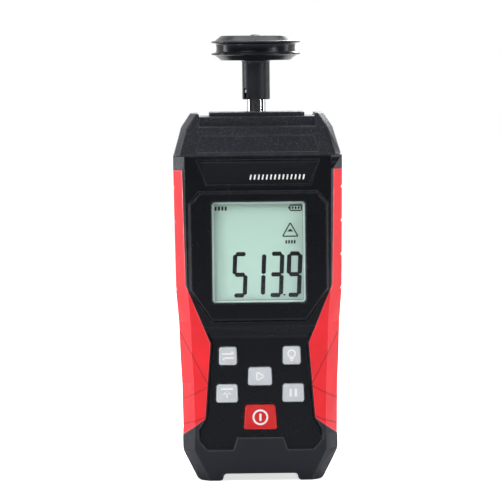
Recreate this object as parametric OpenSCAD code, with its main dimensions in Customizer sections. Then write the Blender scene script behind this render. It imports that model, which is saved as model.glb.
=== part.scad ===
// Handheld contact tachometer with its surface speed wheel fitted.
// The shaft axis is the Z axis. The feet stand at z = 0 and the display looks along -Y.

/* [Casing] */
// Height of the casing, from the feet to the seam under the head
casing_h = 116; // [110:1:124]
// Width across the grips, below the seam
casing_w = 60.2; // [58:0.2:66]
// Depth, from the display surround to the back
casing_d = 40; // [39:0.5:46]
// Wall of the casing shells
wall = 2; // [1.4:0.1:2.4]
// Thickness of the rubber grips and of the bumper
grip_t = 2.4; // [1.8:0.1:2.8]
// Width of the slanted band along each long edge, seen from the front
edge_band_w = 4; // [3:0.1:4.6]
// Depth of the same band, seen from the side
edge_band_d = 5; // [4:0.1:6]
// Drop of the keypad below the display face
keypad_drop = 2.2; // [1.8:0.1:2.6]
// Drop of the lower grips below the display face
grip_drop = 0.7; // [0.3:0.1:1.2]
// Step on the back, above the battery door
rear_step = 2.5; // [1.5:0.1:3]
// Height of the open slot between the two feet
foot_h = 2.6; // [1.5:0.1:3.4]
// Width of the open slot between the two feet
foot_gap = 26.6; // [22:0.2:30]

/* [Head] */
// Height of the head, from the seam to the tips of its horns
head_h = 14.9; // [14.4:0.1:17]
// Height of the horns above the deck of the head
horn_h = 1.1; // [0.6:0.1:1.4]
// Width between the horns
deck_w = 41.4; // [38:0.2:43]
// Width of the raised spindle plate
plate_w = 34; // [31:0.5:37]
// Front to back size of the spindle plate
plate_d = 21; // [18:0.5:23]
// Thickness of the spindle plate
plate_t = 1.5; // [1.2:0.1:2.2]
// Depth of the shallow panel on the front of the head
head_panel_t = 0.6; // [0.3:0.1:1]

/* [Display] */
// Width of the window
window_w = 33.2; // [30:0.2:34]
// Height of the window
window_h = 35.8; // [33:0.2:37]
// Thickness of the window
window_t = 1.2; // [0.8:0.1:1.5]
// Height of the surround above the casing
bezel_rise = 1.8; // [1.5:0.1:2.4]
// Width of the surround beside the window
bezel_side = 7.4; // [6.6:0.1:7.8]
// Width of the slanted outer edge of the surround
bezel_slope = 1.1; // [0.6:0.1:1.4]
// Ledge that carries the window in the casing
window_ledge = 0.9; // [0.5:0.1:1.4]
// Thickness of the casing under the window
window_lip = 1.8; // [1.4:0.1:2.2]
// Thickness of the liquid crystal glass
glass_t = 2.6; // [2:0.1:3]
// Rim of the glass outside the window
glass_rim = 1.4; // [1:0.1:1.6]
// Ledge with contacts, at the lower edge of the glass
glass_ledge = 2.6; // [2.2:0.1:3]
// Thickness of the light guide behind the glass
backlight_t = 2.8; // [2:0.1:3.4]
// Depth of the frame between glass and board
lcd_frame_t = 5.2; // [4.8:0.1:6]
// Wall of that frame
lcd_frame_wall = 1.2; // [0.8:0.1:1.3]

/* [Keys] */
// Width of the two upper keys
upper_key_w = 6.5; // [5.5:0.1:7.5]
// Height of the grey keys
grey_key_h = 6.5; // [5.5:0.1:7]
// Width of the middle key
middle_key_w = 8.6; // [7.5:0.1:9.5]
// Width of the two lower grey keys
lower_key_w = 7.8; // [6.5:0.1:8.2]
// Width of the power key at its foot
power_key_w = 12; // [10:0.1:13]
// Height of the power key
power_key_h = 8.9; // [7.5:0.1:9.5]
// Height of a key above the keypad
key_rise = 1.2; // [0.9:0.1:1.6]
// Travel of a key
key_travel = 0.8; // [0.4:0.05:0.8]
// Thickness of the flange that holds a key in
key_flange_t = 0.8; // [0.5:0.1:1]
// Width of that flange round the key
key_flange = 0.9; // [0.6:0.1:1]

/* [Speed wheel] */
// Diameter over the lips of the wheel
wheel_d = 31.83; // [30:0.01:34]
// Thickness of the wheel
wheel_t = 8.9; // [7.5:0.1:10.5]
// Diameter of the wheel between its lips
drum_d = 28.4; // [26.5:0.1:29]
// Diameter of the hard centre of the wheel
wheel_core_d = 23.9; // [20:0.1:25]
// Diameter of the hub tube
hub_d = 9.9; // [9:0.1:12]
// Length of the hub tube below the wheel
hub_len = 14; // [12:0.5:17]
// Shaft left bare between the spindle plate and the hub
shaft_bare = 4.4; // [3:0.1:8]
// Width of the slit at the end of the hub
slit_w = 1.4; // [1.2:0.1:1.8]
// Height of the slit at the end of the hub
slit_h = 4; // [3.4:0.1:5]

/* [Spindle] */
// Diameter of the shaft outside the head
shaft_d = 6.8; // [6.4:0.1:7]
// Length of the shaft inside the hub
shaft_grip = 11; // [9:0.5:11.5]
// Bore of the two ball bearings
bearing_bore = 5; // [4.6:0.1:5.2]
// Outer diameter of the bearings
bearing_d = 11; // [10.6:0.1:11.6]
// Width of a bearing
bearing_t = 4; // [3:0.1:4]
// Diameter of a bearing ball
ball_d = 1.6; // [1.4:0.05:1.7]
// Diameter of the bearing housing
housing_d = 15; // [14:0.1:17]
// Width of the flange of the housing
flange_w = 28; // [27:0.5:30]
// Front to back size of that flange
flange_d = 18; // [17:0.5:19]
// Diameter of the slotted disc
disc_d = 18; // [16:0.1:19]
// Thickness of the slotted disc
disc_t = 0.8; // [0.5:0.1:0.9]

/* [Electronics] */
// Thickness of the circuit board
board_t = 1.6; // [1:0.1:2]
// Width of the circuit board
board_w = 37.6; // [37.2:0.1:38.4]
// Diameter of the buzzer
buzzer_d = 12; // [9:0.5:13]
// Height of the buzzer
buzzer_h = 5.6; // [4:0.1:6]
// Side of the microcontroller
chip_w = 10; // [7:0.5:12]

/* [Batteries] */
// Diameter of a cell
cell_d = 10.5; // [9.9:0.1:10.8]
// Length of a cell with its button
cell_len = 44.5; // [42:0.1:45.5]
// Length left for a contact spring
spring_len = 4; // [3:0.1:4.5]
// Thickness of the battery door
door_t = 2; // [1.6:0.1:2.2]
// Diameter of the round lower edge of the door
barrel_d = 3; // [2.6:0.1:3.2]
// Diameter of the hinge stubs on the door
stub_d = 1.6; // [1.2:0.05:1.8]

/* [Fasteners] */
// Shank diameter of the case screws
case_screw_d = 2.5; // [2:0.1:2.8]
// Length of the case screws under the head
case_screw_len = 12; // [9:0.5:12.5]
// Shank diameter of the board and plate screws
small_screw_d = 1.6; // [1.2:0.1:1.7]
// Length of the board screws under the head
board_screw_len = 4.6; // [3.6:0.1:4.8]
// Clearance of a running fit, on the radius
run_gap = 0.05; // [0.02:0.01:0.08]
// Clearance round a piece that is dropped in place
fit_gap = 0.15; // [0.1:0.01:0.2]

/* [Hidden] */
$fn = 72;

// Overrun of a cut past the surface it goes through
over = 1;
// Size of the boxes that cut the casing into its halves
reach = 2 * casing_h;
// Steps of a rounded corner
corner_steps = 5;
// Clearance of a seat that is pressed together
seat_gap = 0.01;

// Planes of the casing
half_w = casing_w / 2;
rear_y = casing_d / 2;
front_y = bezel_rise - rear_y;
keypad_y = front_y + keypad_drop;
grip_front_y = front_y + grip_drop;
low_rear_y = rear_y - rear_step;
skin_t = grip_t + wall;
inner_front_y = grip_front_y + skin_t;
inner_rear_y = low_rear_y - skin_t;
core_z = 4;
bumper_share = 0.0966;
bumper_z = bumper_share * casing_h;
tab_share = 0.1345;
tab_z = tab_share * casing_h;

// Bosses in the corners, and the top of the board below the upper pair
boss_d = 6.8;
boss_pilot = 0.05;
boss_depth = 8;
boss_margin = 1;
boss_gap = 0.4;
upper_boss = [board_w / 2 - 1.8 * wall / 2, casing_h - wall - boss_d / 2 - boss_margin];
lower_boss = [foot_gap / 2 + 0.7 * wall / 2, core_z + wall + boss_d / 2 + run_gap];
BOSSES = [upper_boss, [-upper_boss.x, upper_boss.y], lower_boss, [-lower_boss.x, lower_boss.y]];
post_d = 4;
post_gap = 0.4;
board_post_margin = 1.8;
board_top_z = upper_boss.y - boss_d / 2 - boss_margin;

// Heights on the front: the glass lies under the upper posts
window_top_z = board_top_z - board_post_margin - post_d / 2 - post_gap - glass_rim;
window_foot_z = window_top_z - window_h;
bezel_top = 2.9;
bezel_foot = 6;
bezel_cut_w = 3.3;
bezel_cut_h = 3.8;
bezel_low_cut = 10.9;
slope_margin = 1.3;
slope_h = 3.8;
slope_top_z = window_foot_z - bezel_foot - bezel_slope - slope_margin;
slope_foot_z = slope_top_z - slope_h;

// Battery bay and door
bay_wall = 1.2;
contact_t = 0.4;
cell_gap = 0.4;
cell_count = 3;
door_margin = 2.5;
door_lap = 0.5;
door_rib_t = 0.35;
stub_len = 1.6;
barrel_r = barrel_d / 2;
hinge_y = low_rear_y - barrel_r;
hinge_z = bumper_z + door_margin + barrel_r;
door_y = low_rear_y - door_t;
bay_foot_z = hinge_z + barrel_r + fit_gap + bay_wall;
bay_top_z = bay_foot_z + cell_len + spring_len + 2 * contact_t + 2 * run_gap;
bay_half_w = (cell_count * cell_d + (cell_count - 1) * cell_gap) / 2 + fit_gap;
door_half_w = bay_half_w + bay_wall;
door_top_z = bay_top_z + bay_wall + door_lap;
cell_y = door_y - cell_gap - cell_d / 2;
bay_floor_y = cell_y - cell_d / 2 - fit_gap;

// Height tables of the casing: [z, y] of each plane, and shares of height against half width
rear_slope_h = 12;
base_round = 2;
base_round_h = 5;
side_shares = [
    [0, 0.731], [bumper_share, 0.917], [0.134, 0.917], [0.147, 0.91], [0.302, 0.92],
    [0.388, 0.937], [0.491, 0.95], [0.586, 0.98], [0.957, 1], [1, 1]
];
centre_front = [
    [0, keypad_y], [slope_foot_z, keypad_y], [slope_top_z, front_y], [casing_h, front_y]
];
outer_front = [
    [0, grip_front_y + base_round], [base_round_h, grip_front_y], [slope_foot_z, grip_front_y],
    [slope_top_z, front_y], [casing_h, front_y]
];
casing_rear = [
    [0, low_rear_y - base_round], [base_round_h, low_rear_y], [door_top_z + door_margin, low_rear_y],
    [door_top_z + door_margin + rear_slope_h, rear_y], [casing_h, rear_y]
];

// Outlines on the right side, as shares of half width and height: the rest is casing or bumper
centre_front_shares = [
    [0.276, tab_share], [0.322, bumper_share], [0.628, bumper_share], [0.731, 0.1276], [0.7375, 0.1578],
    [0.651, 0.1931], [0.5814, 0.425], [0.867, 0.605], [0.894, 0.957], [1.05, 0.957], [1.05, 1.01]
];
centre_rear_shares = [[0.714, bumper_share], [0.714, 0.957], [1.05, 0.957], [1.05, 1.01]];
grip_front_shares = [
    [0.651, 0.1931], [1.05, 0.1178], [1.05, 0.957], [0.894, 0.957], [0.867, 0.605], [0.5814, 0.425]
];
grip_rear_shares = [[0.714, 0.1422], [1.05, 0.1422], [1.05, 0.957], [0.714, 0.957]];
name_panel_shares = [[0.618, 0.9095], [0.714, 0.985]];
name_panel_drop = 0.6;
name_panel_t = 0.8;
groove_shares = [0.591, 0.6948, 0.7983, 0.9017];
groove_t = 0.5;
groove_h = 3;

// Head: [z, half width], [z, front] and [z, rear]
seam = 0.4;
head_band_w = 2;
head_top_z = casing_h + head_h;
deck_z = head_top_z - horn_h;
head_shoulder_share = 0.65;
head_shoulder_z = casing_h + head_shoulder_share * head_h;
head_width_shares = [0.99, 0.9, 0.787];
head_front_shares = [0, 0.1, 0.155];
head_rear_shares = [0, 0.075, 0.175];
head_z = [casing_h, head_shoulder_z, head_top_z];
head_widths = [for (i = [0:2]) [head_z[i], half_w * head_width_shares[i]]];
head_front = [for (i = [0:2]) [head_z[i], front_y + casing_d * head_front_shares[i]]];
head_rear = [for (i = [0:2]) [head_z[i], rear_y - casing_d * head_rear_shares[i]]];
head_lean = atan2(head_front[1].y - head_front[0].y, head_z[1] - head_z[0]);
head_step_share = 0.69;
head_step_z = casing_h + head_step_share * head_h;
head_panel_top_share = 0.52;
head_panel_foot_share = 0.1;
head_panel_spread = 1.8;

// Screws
case_head_d = 4.6;
case_head_h = 1.8;
case_seat_y = 5;
small_head_d = 3.2;
small_head_h = 1;

// Display stack, from the window back to the board
lip_y = front_y + window_lip;
glass_back_y = lip_y + glass_t;
board_front_y = glass_back_y + lcd_frame_t;
board_back_y = board_front_y + board_t;
glass_w = window_w + 2 * glass_rim;
glass_top_z = window_top_z + glass_rim;
glass_foot_z = window_foot_z - glass_rim - glass_ledge;
strip_w = 2;
strip_wall = 0.8;

// Keys: side keys are set out by shares of half width, and each column shares out the height
// that its keys leave free between the bumper or its tab and the slope under the display
upper_key_share = 0.377;
lower_key_share = 0.392;
side_column_shares = [0.674, 0.887];
centre_column_shares = [0.147, 0.432];
key_taper_share = 0.95;
power_taper_share = 0.885;
key_corner = 0.9;
key_bevel = 0.35;
key_gap = 0.2;
key_back_y = inner_front_y + run_gap + key_flange_t;
switch_w = 6;
switch_base_share = 0.6;
switch_h = board_front_y - key_back_y - key_travel - run_gap;
membrane_t = 0.8;
grey_block = grey_key_h + 2 * key_flange;
power_block = power_key_h + 2 * key_flange;
side_space = slope_foot_z - bumper_z - 2 * grey_block;
centre_foot_z = tab_z + key_gap - key_flange;
centre_space = slope_foot_z - centre_foot_z - power_block - grey_block;
lower_key = [lower_key_share * half_w, bumper_z + side_column_shares[0] * side_space + grey_block / 2];
upper_key = [upper_key_share * half_w, bumper_z + side_column_shares[1] * side_space + 1.5 * grey_block];
power_key_place = [0, centre_foot_z + centre_column_shares[0] * centre_space + power_block / 2];
middle_key = [0, centre_foot_z + centre_column_shares[1] * centre_space + power_block + grey_block / 2];
KEY_PLACES = [
    [-upper_key.x, upper_key.y], upper_key, middle_key, [-lower_key.x, lower_key.y], lower_key,
    power_key_place
];
KEY_SIZES = [
    [upper_key_w, grey_key_h, key_taper_share], [upper_key_w, grey_key_h, key_taper_share],
    [middle_key_w, grey_key_h, key_taper_share], [lower_key_w, grey_key_h, key_taper_share],
    [lower_key_w, grey_key_h, key_taper_share], [power_key_w, power_key_h, power_taper_share]
];

// Posts that carry the board: above the glass, under it, and under the power key
post_x = 15.5;
post_mid_z = glass_foot_z - post_d - boss_margin;
post_low_x = 5;
post_low_z = power_key_place.y - power_block / 2 - post_gap - post_d / 2;
POSTS = [for (s = [-1, 1]) each [
    [s * post_x, board_top_z - board_post_margin],
    [s * post_x, post_mid_z],
    [s * post_low_x, post_low_z]
]];
board_foot_z = post_low_z - board_post_margin;

// Spindle stack, from the deck of the head down and up
shoulder_t = 1.2;
deck_under_z = deck_z - wall;
upper_bearing_z = deck_under_z - bearing_t;
lower_bearing_z = upper_bearing_z - shoulder_t - bearing_t;
ball_circle_d = (bearing_bore + bearing_d) / 2;
ball_count = 7;
ring_wall = 1.05;
seal_hole_d = bearing_d - 1.8 * ring_wall;
seal_lift = 0.3;
flange_t = 1.6;
plate_screw_x = 11.5;
disc_hub_h = 0.75;
disc_hub_d = 7.6;
disc_slots = 8;
disc_slot_w = 1.6;
disc_slot_len = 2.4;
retaining_t = 0.5;
retaining_d = 8;
retaining_groove = 0.5;
disc_z = lower_bearing_z - run_gap - disc_hub_h - disc_t;
retaining_z = disc_z - run_gap - retaining_t;
shaft_foot_z = retaining_z - seam;
plate_top_z = deck_z + plate_t;
hub_foot_z = plate_top_z + shaft_bare;
wheel_foot_z = hub_foot_z + hub_len;
wheel_top_z = wheel_foot_z + wheel_t;
shaft_top_z = hub_foot_z + shaft_grip;
shaft_chamfer = 0.6;
pin_d = 1.1;
pin_turn = 36;
pin_z = hub_foot_z + slit_h - pin_d;
lip_tip_t = 0.9;
lip_shares = [0.26, 0.74];
wheel_side = 1.2;
lip_root = 0.4;
wheel_cap_d = 4;
wheel_cap_h = 0.4;

// Optics under the disc
sensor_x = 6.2;
sensor_h = 10;
sensor_w = 25;
sensor_d = 8;
sensor_board_w = 26;
sensor_board_d = 12;
sensor_gap = 1;
diode_d = 3;
diode_h = 4.5;
lens_d = 4.6;
lens_h = 1.8;
top_hole_d = disc_d + 1;
sensor_top_z = casing_h - wall;
sensor_foot_z = sensor_top_z - sensor_h;

// Small parts on the board
board_space = bay_floor_y - bay_wall - board_back_y;
crystal_h_share = 0.351;
crystal_w = 4.6;
crystal_len = 11;
crystal_x = -11;
crystal_gap = 0.9;
crystal_z = post_mid_z - small_head_d / 2 - crystal_gap - crystal_w / 2;
capacitor_d = 5;
capacitor_h_share = 0.488;
capacitor_pitch = 6.4;
capacitor_gap = 3.4;
capacitor_z = crystal_z - crystal_w / 2 - capacitor_gap - capacitor_d / 2;
chip_t = 1.4;
chip_z_share = 0.66;
buzzer_x = 10;
buzzer_z_share = 0.77;
lead_d = 1.2;
lead_x = 8;

// Shapes

function unit(v) = v / norm(v);
function sorted(v) = len(v) <= 1 ? v : let (p = v[0])
    concat(sorted([for (x = v) if (x < p) x]), [p], sorted([for (x = v) if (x > p) x]));
function both_sides(half) = concat(half, [for (i = [len(half) - 1:-1:0]) [-half[i].x, half[i].y]]);
function scaled(shares) = [for (s = shares) [s.x * half_w, s.y * casing_h]];
function box_outline(w, foot, top) = [[-w / 2, foot], [w / 2, foot], [w / 2, top], [-w / 2, top]];

// An outline moved outwards by d, with mitred corners; its points run anticlockwise
function grown(points, d) = let (n = len(points)) [for (i = [0:n - 1]) let (
    u = unit(points[i] - points[(i + n - 1) % n]),
    v = unit(points[(i + 1) % n] - points[i]),
    a = [u.y, -u.x],
    b = [v.y, -v.x]
) points[i] + d * (a + b) / (1 + a * b)];

// The arc that rounds corner b, between its neighbours a and c
function corner_arc(a, b, c, r) = let (
    u = unit(a - b),
    v = unit(c - b),
    half = acos(u * v) / 2,
    centre = b + unit(u + v) * r / sin(half),
    s = b + u * r / tan(half) - centre,
    turn = sign(u.y * v.x - u.x * v.y) * (180 - 2 * half)
) [for (k = [0:corner_steps]) let (g = turn * k / corner_steps)
    centre + [s.x * cos(g) - s.y * sin(g), s.x * sin(g) + s.y * cos(g)]];
function rounded(points, r) = let (n = len(points))
    [for (i = [0:n - 1]) each corner_arc(points[(i + n - 1) % n], points[i], points[(i + 1) % n], r)];

// A closed solid through rings of equal length, each anticlockwise seen from its far end
module skin(rings) {
    n = len(rings[0]);
    last = len(rings) - 1;
    polyhedron(
        points = [for (ring = rings) each ring],
        faces = concat(
            [[for (i = [0:n - 1]) i]],
            [for (k = [0:last - 1], i = [0:n - 1])
                [k * n + i, (k + 1) * n + i, (k + 1) * n + (i + 1) % n, k * n + (i + 1) % n]],
            [[for (i = [n - 1:-1:0]) last * n + i]]
        )
    );
}

// Layers [y, outline] of a front view, from the back to the front
module front_skin(layers) {
    rotate([90, 0, 0]) skin([for (layer = layers) [for (p = layer[1]) [p.x, p.y, -layer[0]]]]);
}

// A front view outline, from y_back forward to y_front
module front_prism(outline, y_back, y_front) {
    translate([0, y_back, 0]) rotate([90, 0, 0]) linear_extrude(y_back - y_front) polygon(outline);
}

// A round bar along Y at place [x, z]
module rod_y(place, d, y_front, y_back) {
    translate([place.x, y_back, place.y]) rotate([90, 0, 0]) cylinder(d = d, h = y_back - y_front);
}

module ring_z(d_out, d_in, h) {
    difference() {
        cylinder(d = d_out, h = h);
        translate([0, 0, -over]) cylinder(d = d_in, h = h + 2 * over);
    }
}

// Section of a body of half width w, with a slanted band along its four long edges
function band_ring(z, w, front, rear, band_w, band_d) = [for (p = [
    [w - band_w, front], [w, front + band_d], [w, rear - band_d], [w - band_w, rear],
    [band_w - w, rear], [-w, rear - band_d], [-w, front + band_d], [band_w - w, front]
]) [p.x, p.y, z]];

module tapered_body(z0, z1, inset, widths, front, rear, band_w, band_d) {
    breaks = sorted([for (table = [widths, front, rear]) each [for (row = table) row.x]]);
    levels = concat([z0], [for (z = breaks) if (z > z0 && z < z1) z], [z1]);
    skin([for (z = levels) band_ring(z, lookup(z, widths) - inset, lookup(z, front) + inset,
        lookup(z, rear) - inset, band_w, band_d)]);
}

side_widths = [for (s = side_shares) [s.x * casing_h, s.y * half_w]];

module casing_form(z0, z1, inset, front) {
    tapered_body(z0, z1, inset, side_widths, front, casing_rear, edge_band_w, edge_band_d);
}

module head_form(z0, z1, inset) {
    tapered_body(z0, z1, inset, head_widths, head_front, head_rear, head_band_w, edge_band_d);
}

module front_side() { translate([-reach / 2, -reach, -reach / 2]) cube([reach, reach, 2 * reach]); }
module rear_side() { translate([-reach / 2, 0, -reach / 2]) cube([reach, reach, 2 * reach]); }
module casing_core() { casing_form(core_z, casing_h, grip_t, outer_front); }
module casing_cavity() { casing_form(core_z + wall, casing_h - wall, skin_t, outer_front); }
module centre_front_prism() { front_prism(both_sides(scaled(centre_front_shares)), 0, -reach / 2); }
module centre_rear_prism() { front_prism(both_sides(scaled(centre_rear_shares)), reach / 2, 0); }
module top_hole() {
    translate([0, 0, casing_h - wall - over]) cylinder(d = top_hole_d, h = wall + 2 * over);
}

// Casing

module front_shell() color("#1d1e21") {
    difference() {
        union() {
            difference() {
                union() {
                    intersection() {
                        casing_core();
                        front_side();
                    }
                    intersection() {
                        casing_form(core_z, casing_h, 0, centre_front);
                        centre_front_prism();
                    }
                }
                casing_cavity();
                front_prism(grown(box_outline(glass_w, glass_foot_z, glass_top_z), fit_gap),
                    inner_front_y + over, lip_y);
            }
            for (b = BOSSES) rod_y(b, boss_d, inner_front_y - wall / 2, 0);
            for (p = POSTS) rod_y(p, post_d, inner_front_y - wall / 2, board_front_y);
        }
        for (b = BOSSES) rod_y(b, case_screw_d + 2 * boss_pilot, -boss_depth, over);
        for (p = POSTS)
            rod_y(p, small_screw_d + 2 * boss_pilot, board_back_y - board_screw_len - over / 4, 0);
        front_prism(grown(window_outline(), -window_ledge), 0, -reach / 2);
        for (i = [0:5]) front_prism(grown(key_outline(i), key_gap), 0, -reach / 2);
        front_prism(name_outline(), front_y + name_panel_drop + name_panel_t, -reach / 2);
        top_hole();
    }
}

module rear_shell() color("#1d1e21") {
    difference() {
        union() {
            difference() {
                union() {
                    intersection() {
                        casing_core();
                        rear_side();
                    }
                    intersection() {
                        casing_form(core_z, casing_h, 0, outer_front);
                        centre_rear_prism();
                    }
                }
                casing_cavity();
            }
            for (b = BOSSES) rod_y(b, boss_d, 0, lookup(b.y, casing_rear) - skin_t + wall / 2);
            front_prism(box_outline(2 * door_half_w, bay_foot_z - bay_wall, bay_top_z + bay_wall),
                inner_rear_y + wall / 2, bay_floor_y - bay_wall);
        }
        for (b = BOSSES) {
            rod_y(b, case_screw_d + 4 * run_gap, -over, case_seat_y + over);
            rod_y(b, case_head_d + 2 * fit_gap, case_seat_y, reach / 2);
        }
        front_prism(box_outline(2 * bay_half_w, bay_foot_z, bay_top_z), reach / 2, bay_floor_y);
        front_prism(grown(box_outline(2 * door_half_w, hinge_z, door_top_z), fit_gap),
            reach / 2, door_y - run_gap);
        front_prism(grown(box_outline(2 * door_half_w, hinge_z - barrel_r, hinge_z + barrel_r), fit_gap),
            reach / 2, hinge_y - barrel_r - fit_gap);
        hinge_bar(stub_d + 2 * run_gap, door_half_w + stub_len + fit_gap);
        top_hole();
    }
}

module hinge_bar(d, half_len) {
    translate([-half_len, hinge_y, hinge_z]) rotate([0, 90, 0]) cylinder(d = d, h = 2 * half_len);
}

module head_cap() color("#24262b") {
    difference() {
        union() {
            head_form(casing_h, casing_h + 2 * seam, seam);
            head_form(casing_h + seam, head_top_z, 0);
        }
        head_form(casing_h - over, deck_under_z, wall);
        translate([-flange_w / 2 - fit_gap, -flange_d / 2 - fit_gap, deck_under_z - flange_t - fit_gap])
            cube([flange_w + 2 * fit_gap, flange_d + 2 * fit_gap, flange_t + fit_gap]);
        front_prism(box_outline(deck_w, deck_z, head_top_z + over), reach / 2, -reach / 2);
        front_prism(box_outline(deck_w, head_step_z, head_top_z + over),
            lookup(deck_z, head_front), -reach / 2);
        translate([0, head_front[0].y, casing_h]) rotate([90 - head_lean, 0, 0])
            translate([0, 0, -head_panel_t]) linear_extrude(wall) polygon(head_panel_outline());
        translate([0, 0, deck_under_z - over]) cylinder(d = seal_hole_d, h = wall + 2 * over);
        plate_screw_holes(deck_under_z - over, deck_z + over);
    }
}

function head_panel_outline() = let (
    foot = head_panel_foot_share * head_h,
    top = head_panel_top_share * head_h,
    w = deck_w / 2
) [[-w - head_panel_spread / 2, foot], [w + head_panel_spread / 2, foot],
    [w - head_panel_spread / 2, top], [head_panel_spread / 2 - w, top]];

module plate_screw_holes(z0, z1) {
    for (s = [-1, 1]) translate([s * plate_screw_x, 0, z0])
        cylinder(d = small_screw_d + 2 * boss_pilot, h = z1 - z0);
}

module spindle_plate() color("#1a1b1e") {
    corner = plate_t;
    difference() {
        translate([0, 0, deck_z]) linear_extrude(plate_t)
            polygon(rounded(box_outline(plate_w, -plate_d / 2, plate_d / 2), corner));
        translate([0, 0, deck_z - over]) cylinder(d = seal_hole_d - ring_wall / 2, h = plate_t + 2 * over);
        plate_screw_holes(deck_z - over, plate_top_z + over);
        for (s = [-1, 1]) translate([s * plate_screw_x, 0, plate_top_z - small_head_h])
            cylinder(d = small_head_d + 2 * fit_gap, h = small_head_h + over);
    }
}

module bottom_bumper() color("#2a2b2e") {
    difference() {
        union() {
            intersection() {
                casing_form(0, casing_h / 2, 0, outer_front);
                front_prism(box_outline(reach / 2, -over, grip_front_shares[0].y * casing_h),
                    0, -reach / 2);
            }
            intersection() {
                casing_form(0, casing_h / 2, 0, outer_front);
                front_prism(box_outline(reach / 2, -over, grip_rear_shares[0].y * casing_h),
                    reach / 2, 0);
            }
        }
        centre_front_prism();
        centre_rear_prism();
        for (s = [0, 1]) mirror([s, 0, 0]) front_prism(scaled(grip_front_shares), 0, -reach / 2);
        casing_core();
        front_prism(box_outline(foot_gap, -over, foot_h), reach / 2, -reach / 2);
        for (b = BOSSES) rod_y(b, case_head_d + 4 * fit_gap, case_seat_y, reach / 2);
    }
}

module grip() {
    difference() {
        intersection() {
            casing_form(0, casing_h, 0, outer_front);
            union() {
                front_prism(scaled(grip_front_shares), 0, -reach / 2);
                front_prism(scaled(grip_rear_shares), reach / 2, 0);
            }
        }
        casing_core();
        for (s = groove_shares) {
            z = s * casing_h;
            w = lookup(z, side_widths);
            front_prism([
                [w - groove_t, z], [w + groove_t, z - groove_h / 2], [w + groove_t, z + groove_h / 2]
            ], reach / 2, -reach / 2);
        }
    }
}

module right_grip() color("#e8262f") grip();
module left_grip() color("#e8262f") mirror([1, 0, 0]) grip();

function name_outline() = let (foot = name_panel_shares[0], top = name_panel_shares[1])
    both_sides([[foot.x * half_w, foot.y * casing_h], [top.x * half_w, top.y * casing_h]]);

module name_panel() color("#141518") {
    y = front_y + name_panel_drop;
    front_prism(grown(name_outline(), -fit_gap), y + name_panel_t, y);
}

// Display

function window_outline() = box_outline(window_w, window_foot_z, window_top_z);
function bezel_outline() = let (side = window_w / 2 + bezel_side, top = window_top_z + bezel_top,
    foot = window_foot_z - bezel_foot) both_sides([
        [window_w / 2, foot], [side, foot + bezel_low_cut],
        [side, top - bezel_cut_h], [side - bezel_cut_w, top]
    ]);

module display_bezel() color("#1d1e21") {
    difference() {
        front_skin([[front_y, grown(bezel_outline(), bezel_slope)], [-rear_y, bezel_outline()]]);
        front_prism(rounded(grown(window_outline(), fit_gap), key_corner), 0, -reach / 2);
    }
}

module display_window() color("#cfe3da", 0.4)
    front_prism(rounded(window_outline(), key_corner), front_y, front_y - window_t);

module lcd_glass() color("#b9d5cb") {
    front_prism(box_outline(glass_w, glass_foot_z, glass_top_z), glass_back_y, lip_y + glass_t / 2);
    front_prism(box_outline(glass_w, glass_foot_z + glass_ledge, glass_top_z), lip_y + glass_t / 2, lip_y);
}

function backlight_outline() = box_outline(glass_w - 2 * lcd_frame_wall,
    glass_foot_z + lcd_frame_wall + strip_w + strip_wall, glass_top_z - lcd_frame_wall);
function strip_outline() = box_outline(glass_w - 2 * lcd_frame_wall,
    glass_foot_z + lcd_frame_wall, glass_foot_z + lcd_frame_wall + strip_w);

module lcd_backlight() color("#f2f7f4")
    front_prism(grown(backlight_outline(), -fit_gap), glass_back_y + backlight_t, glass_back_y);

module lcd_frame() color("#2c2c2e") {
    difference() {
        front_prism(box_outline(glass_w, glass_foot_z, glass_top_z), board_front_y, glass_back_y);
        front_prism(backlight_outline(), 0, -reach / 2);
        front_prism(strip_outline(), 0, -reach / 2);
    }
}

module contact_strip() color("#8c8f92")
    front_prism(grown(strip_outline(), -fit_gap), board_front_y, glass_back_y);

// Keys

function key_outline(i) = let (
    place = KEY_PLACES[i],
    size = KEY_SIZES[i],
    foot = size[0] / 2,
    top = foot * size[2]
)
    rounded([for (p = [[-foot, -1], [foot, -1], [top, 1], [-top, 1]])
        [place.x + p.x, place.y + p.y * size[1] / 2]], key_corner);

module key(i) {
    outline = key_outline(i);
    face_y = keypad_y - key_rise;
    front_skin([[key_back_y - key_flange_t / 2, outline], [face_y + key_bevel, outline],
        [face_y, grown(outline, -key_bevel)]]);
    front_prism(grown(outline, key_flange), key_back_y, key_back_y - key_flange_t);
}

module unit_key() color("#a5aaaf") key(0);
module light_key() color("#a5aaaf") key(1);
module test_key() color("#a5aaaf") key(2);
module max_key() color("#a5aaaf") key(3);
module hold_key() color("#a5aaaf") key(4);
module power_key() color("#e5202a") key(5);

module keypad_membrane() color("#3a3c40") {
    margin = membrane_t / 2;
    difference() {
        front_prism(box_outline(board_w - 4 * margin, board_foot_z + margin, slope_foot_z),
            board_front_y, board_front_y - membrane_t);
        for (p = KEY_PLACES) translate([p.x, 0, p.y])
            front_prism(grown(box_outline(switch_w, -switch_w / 2, switch_w / 2), fit_gap), 0, -reach / 2);
        for (p = POSTS) rod_y(p, post_d + 2 * fit_gap, -reach / 2, 0);
        for (b = BOSSES) rod_y(b, boss_d + 2 * boss_gap, -reach / 2, 0);
    }
}

module key_switches() color("#26282b") {
    for (p = KEY_PLACES) {
        translate([p.x, 0, p.y]) front_prism(box_outline(switch_w, -switch_w / 2, switch_w / 2),
            board_front_y, board_front_y - switch_base_share * switch_h);
        rod_y(p, switch_w / 2, board_front_y - switch_h, board_front_y);
    }
}

// Board

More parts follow.
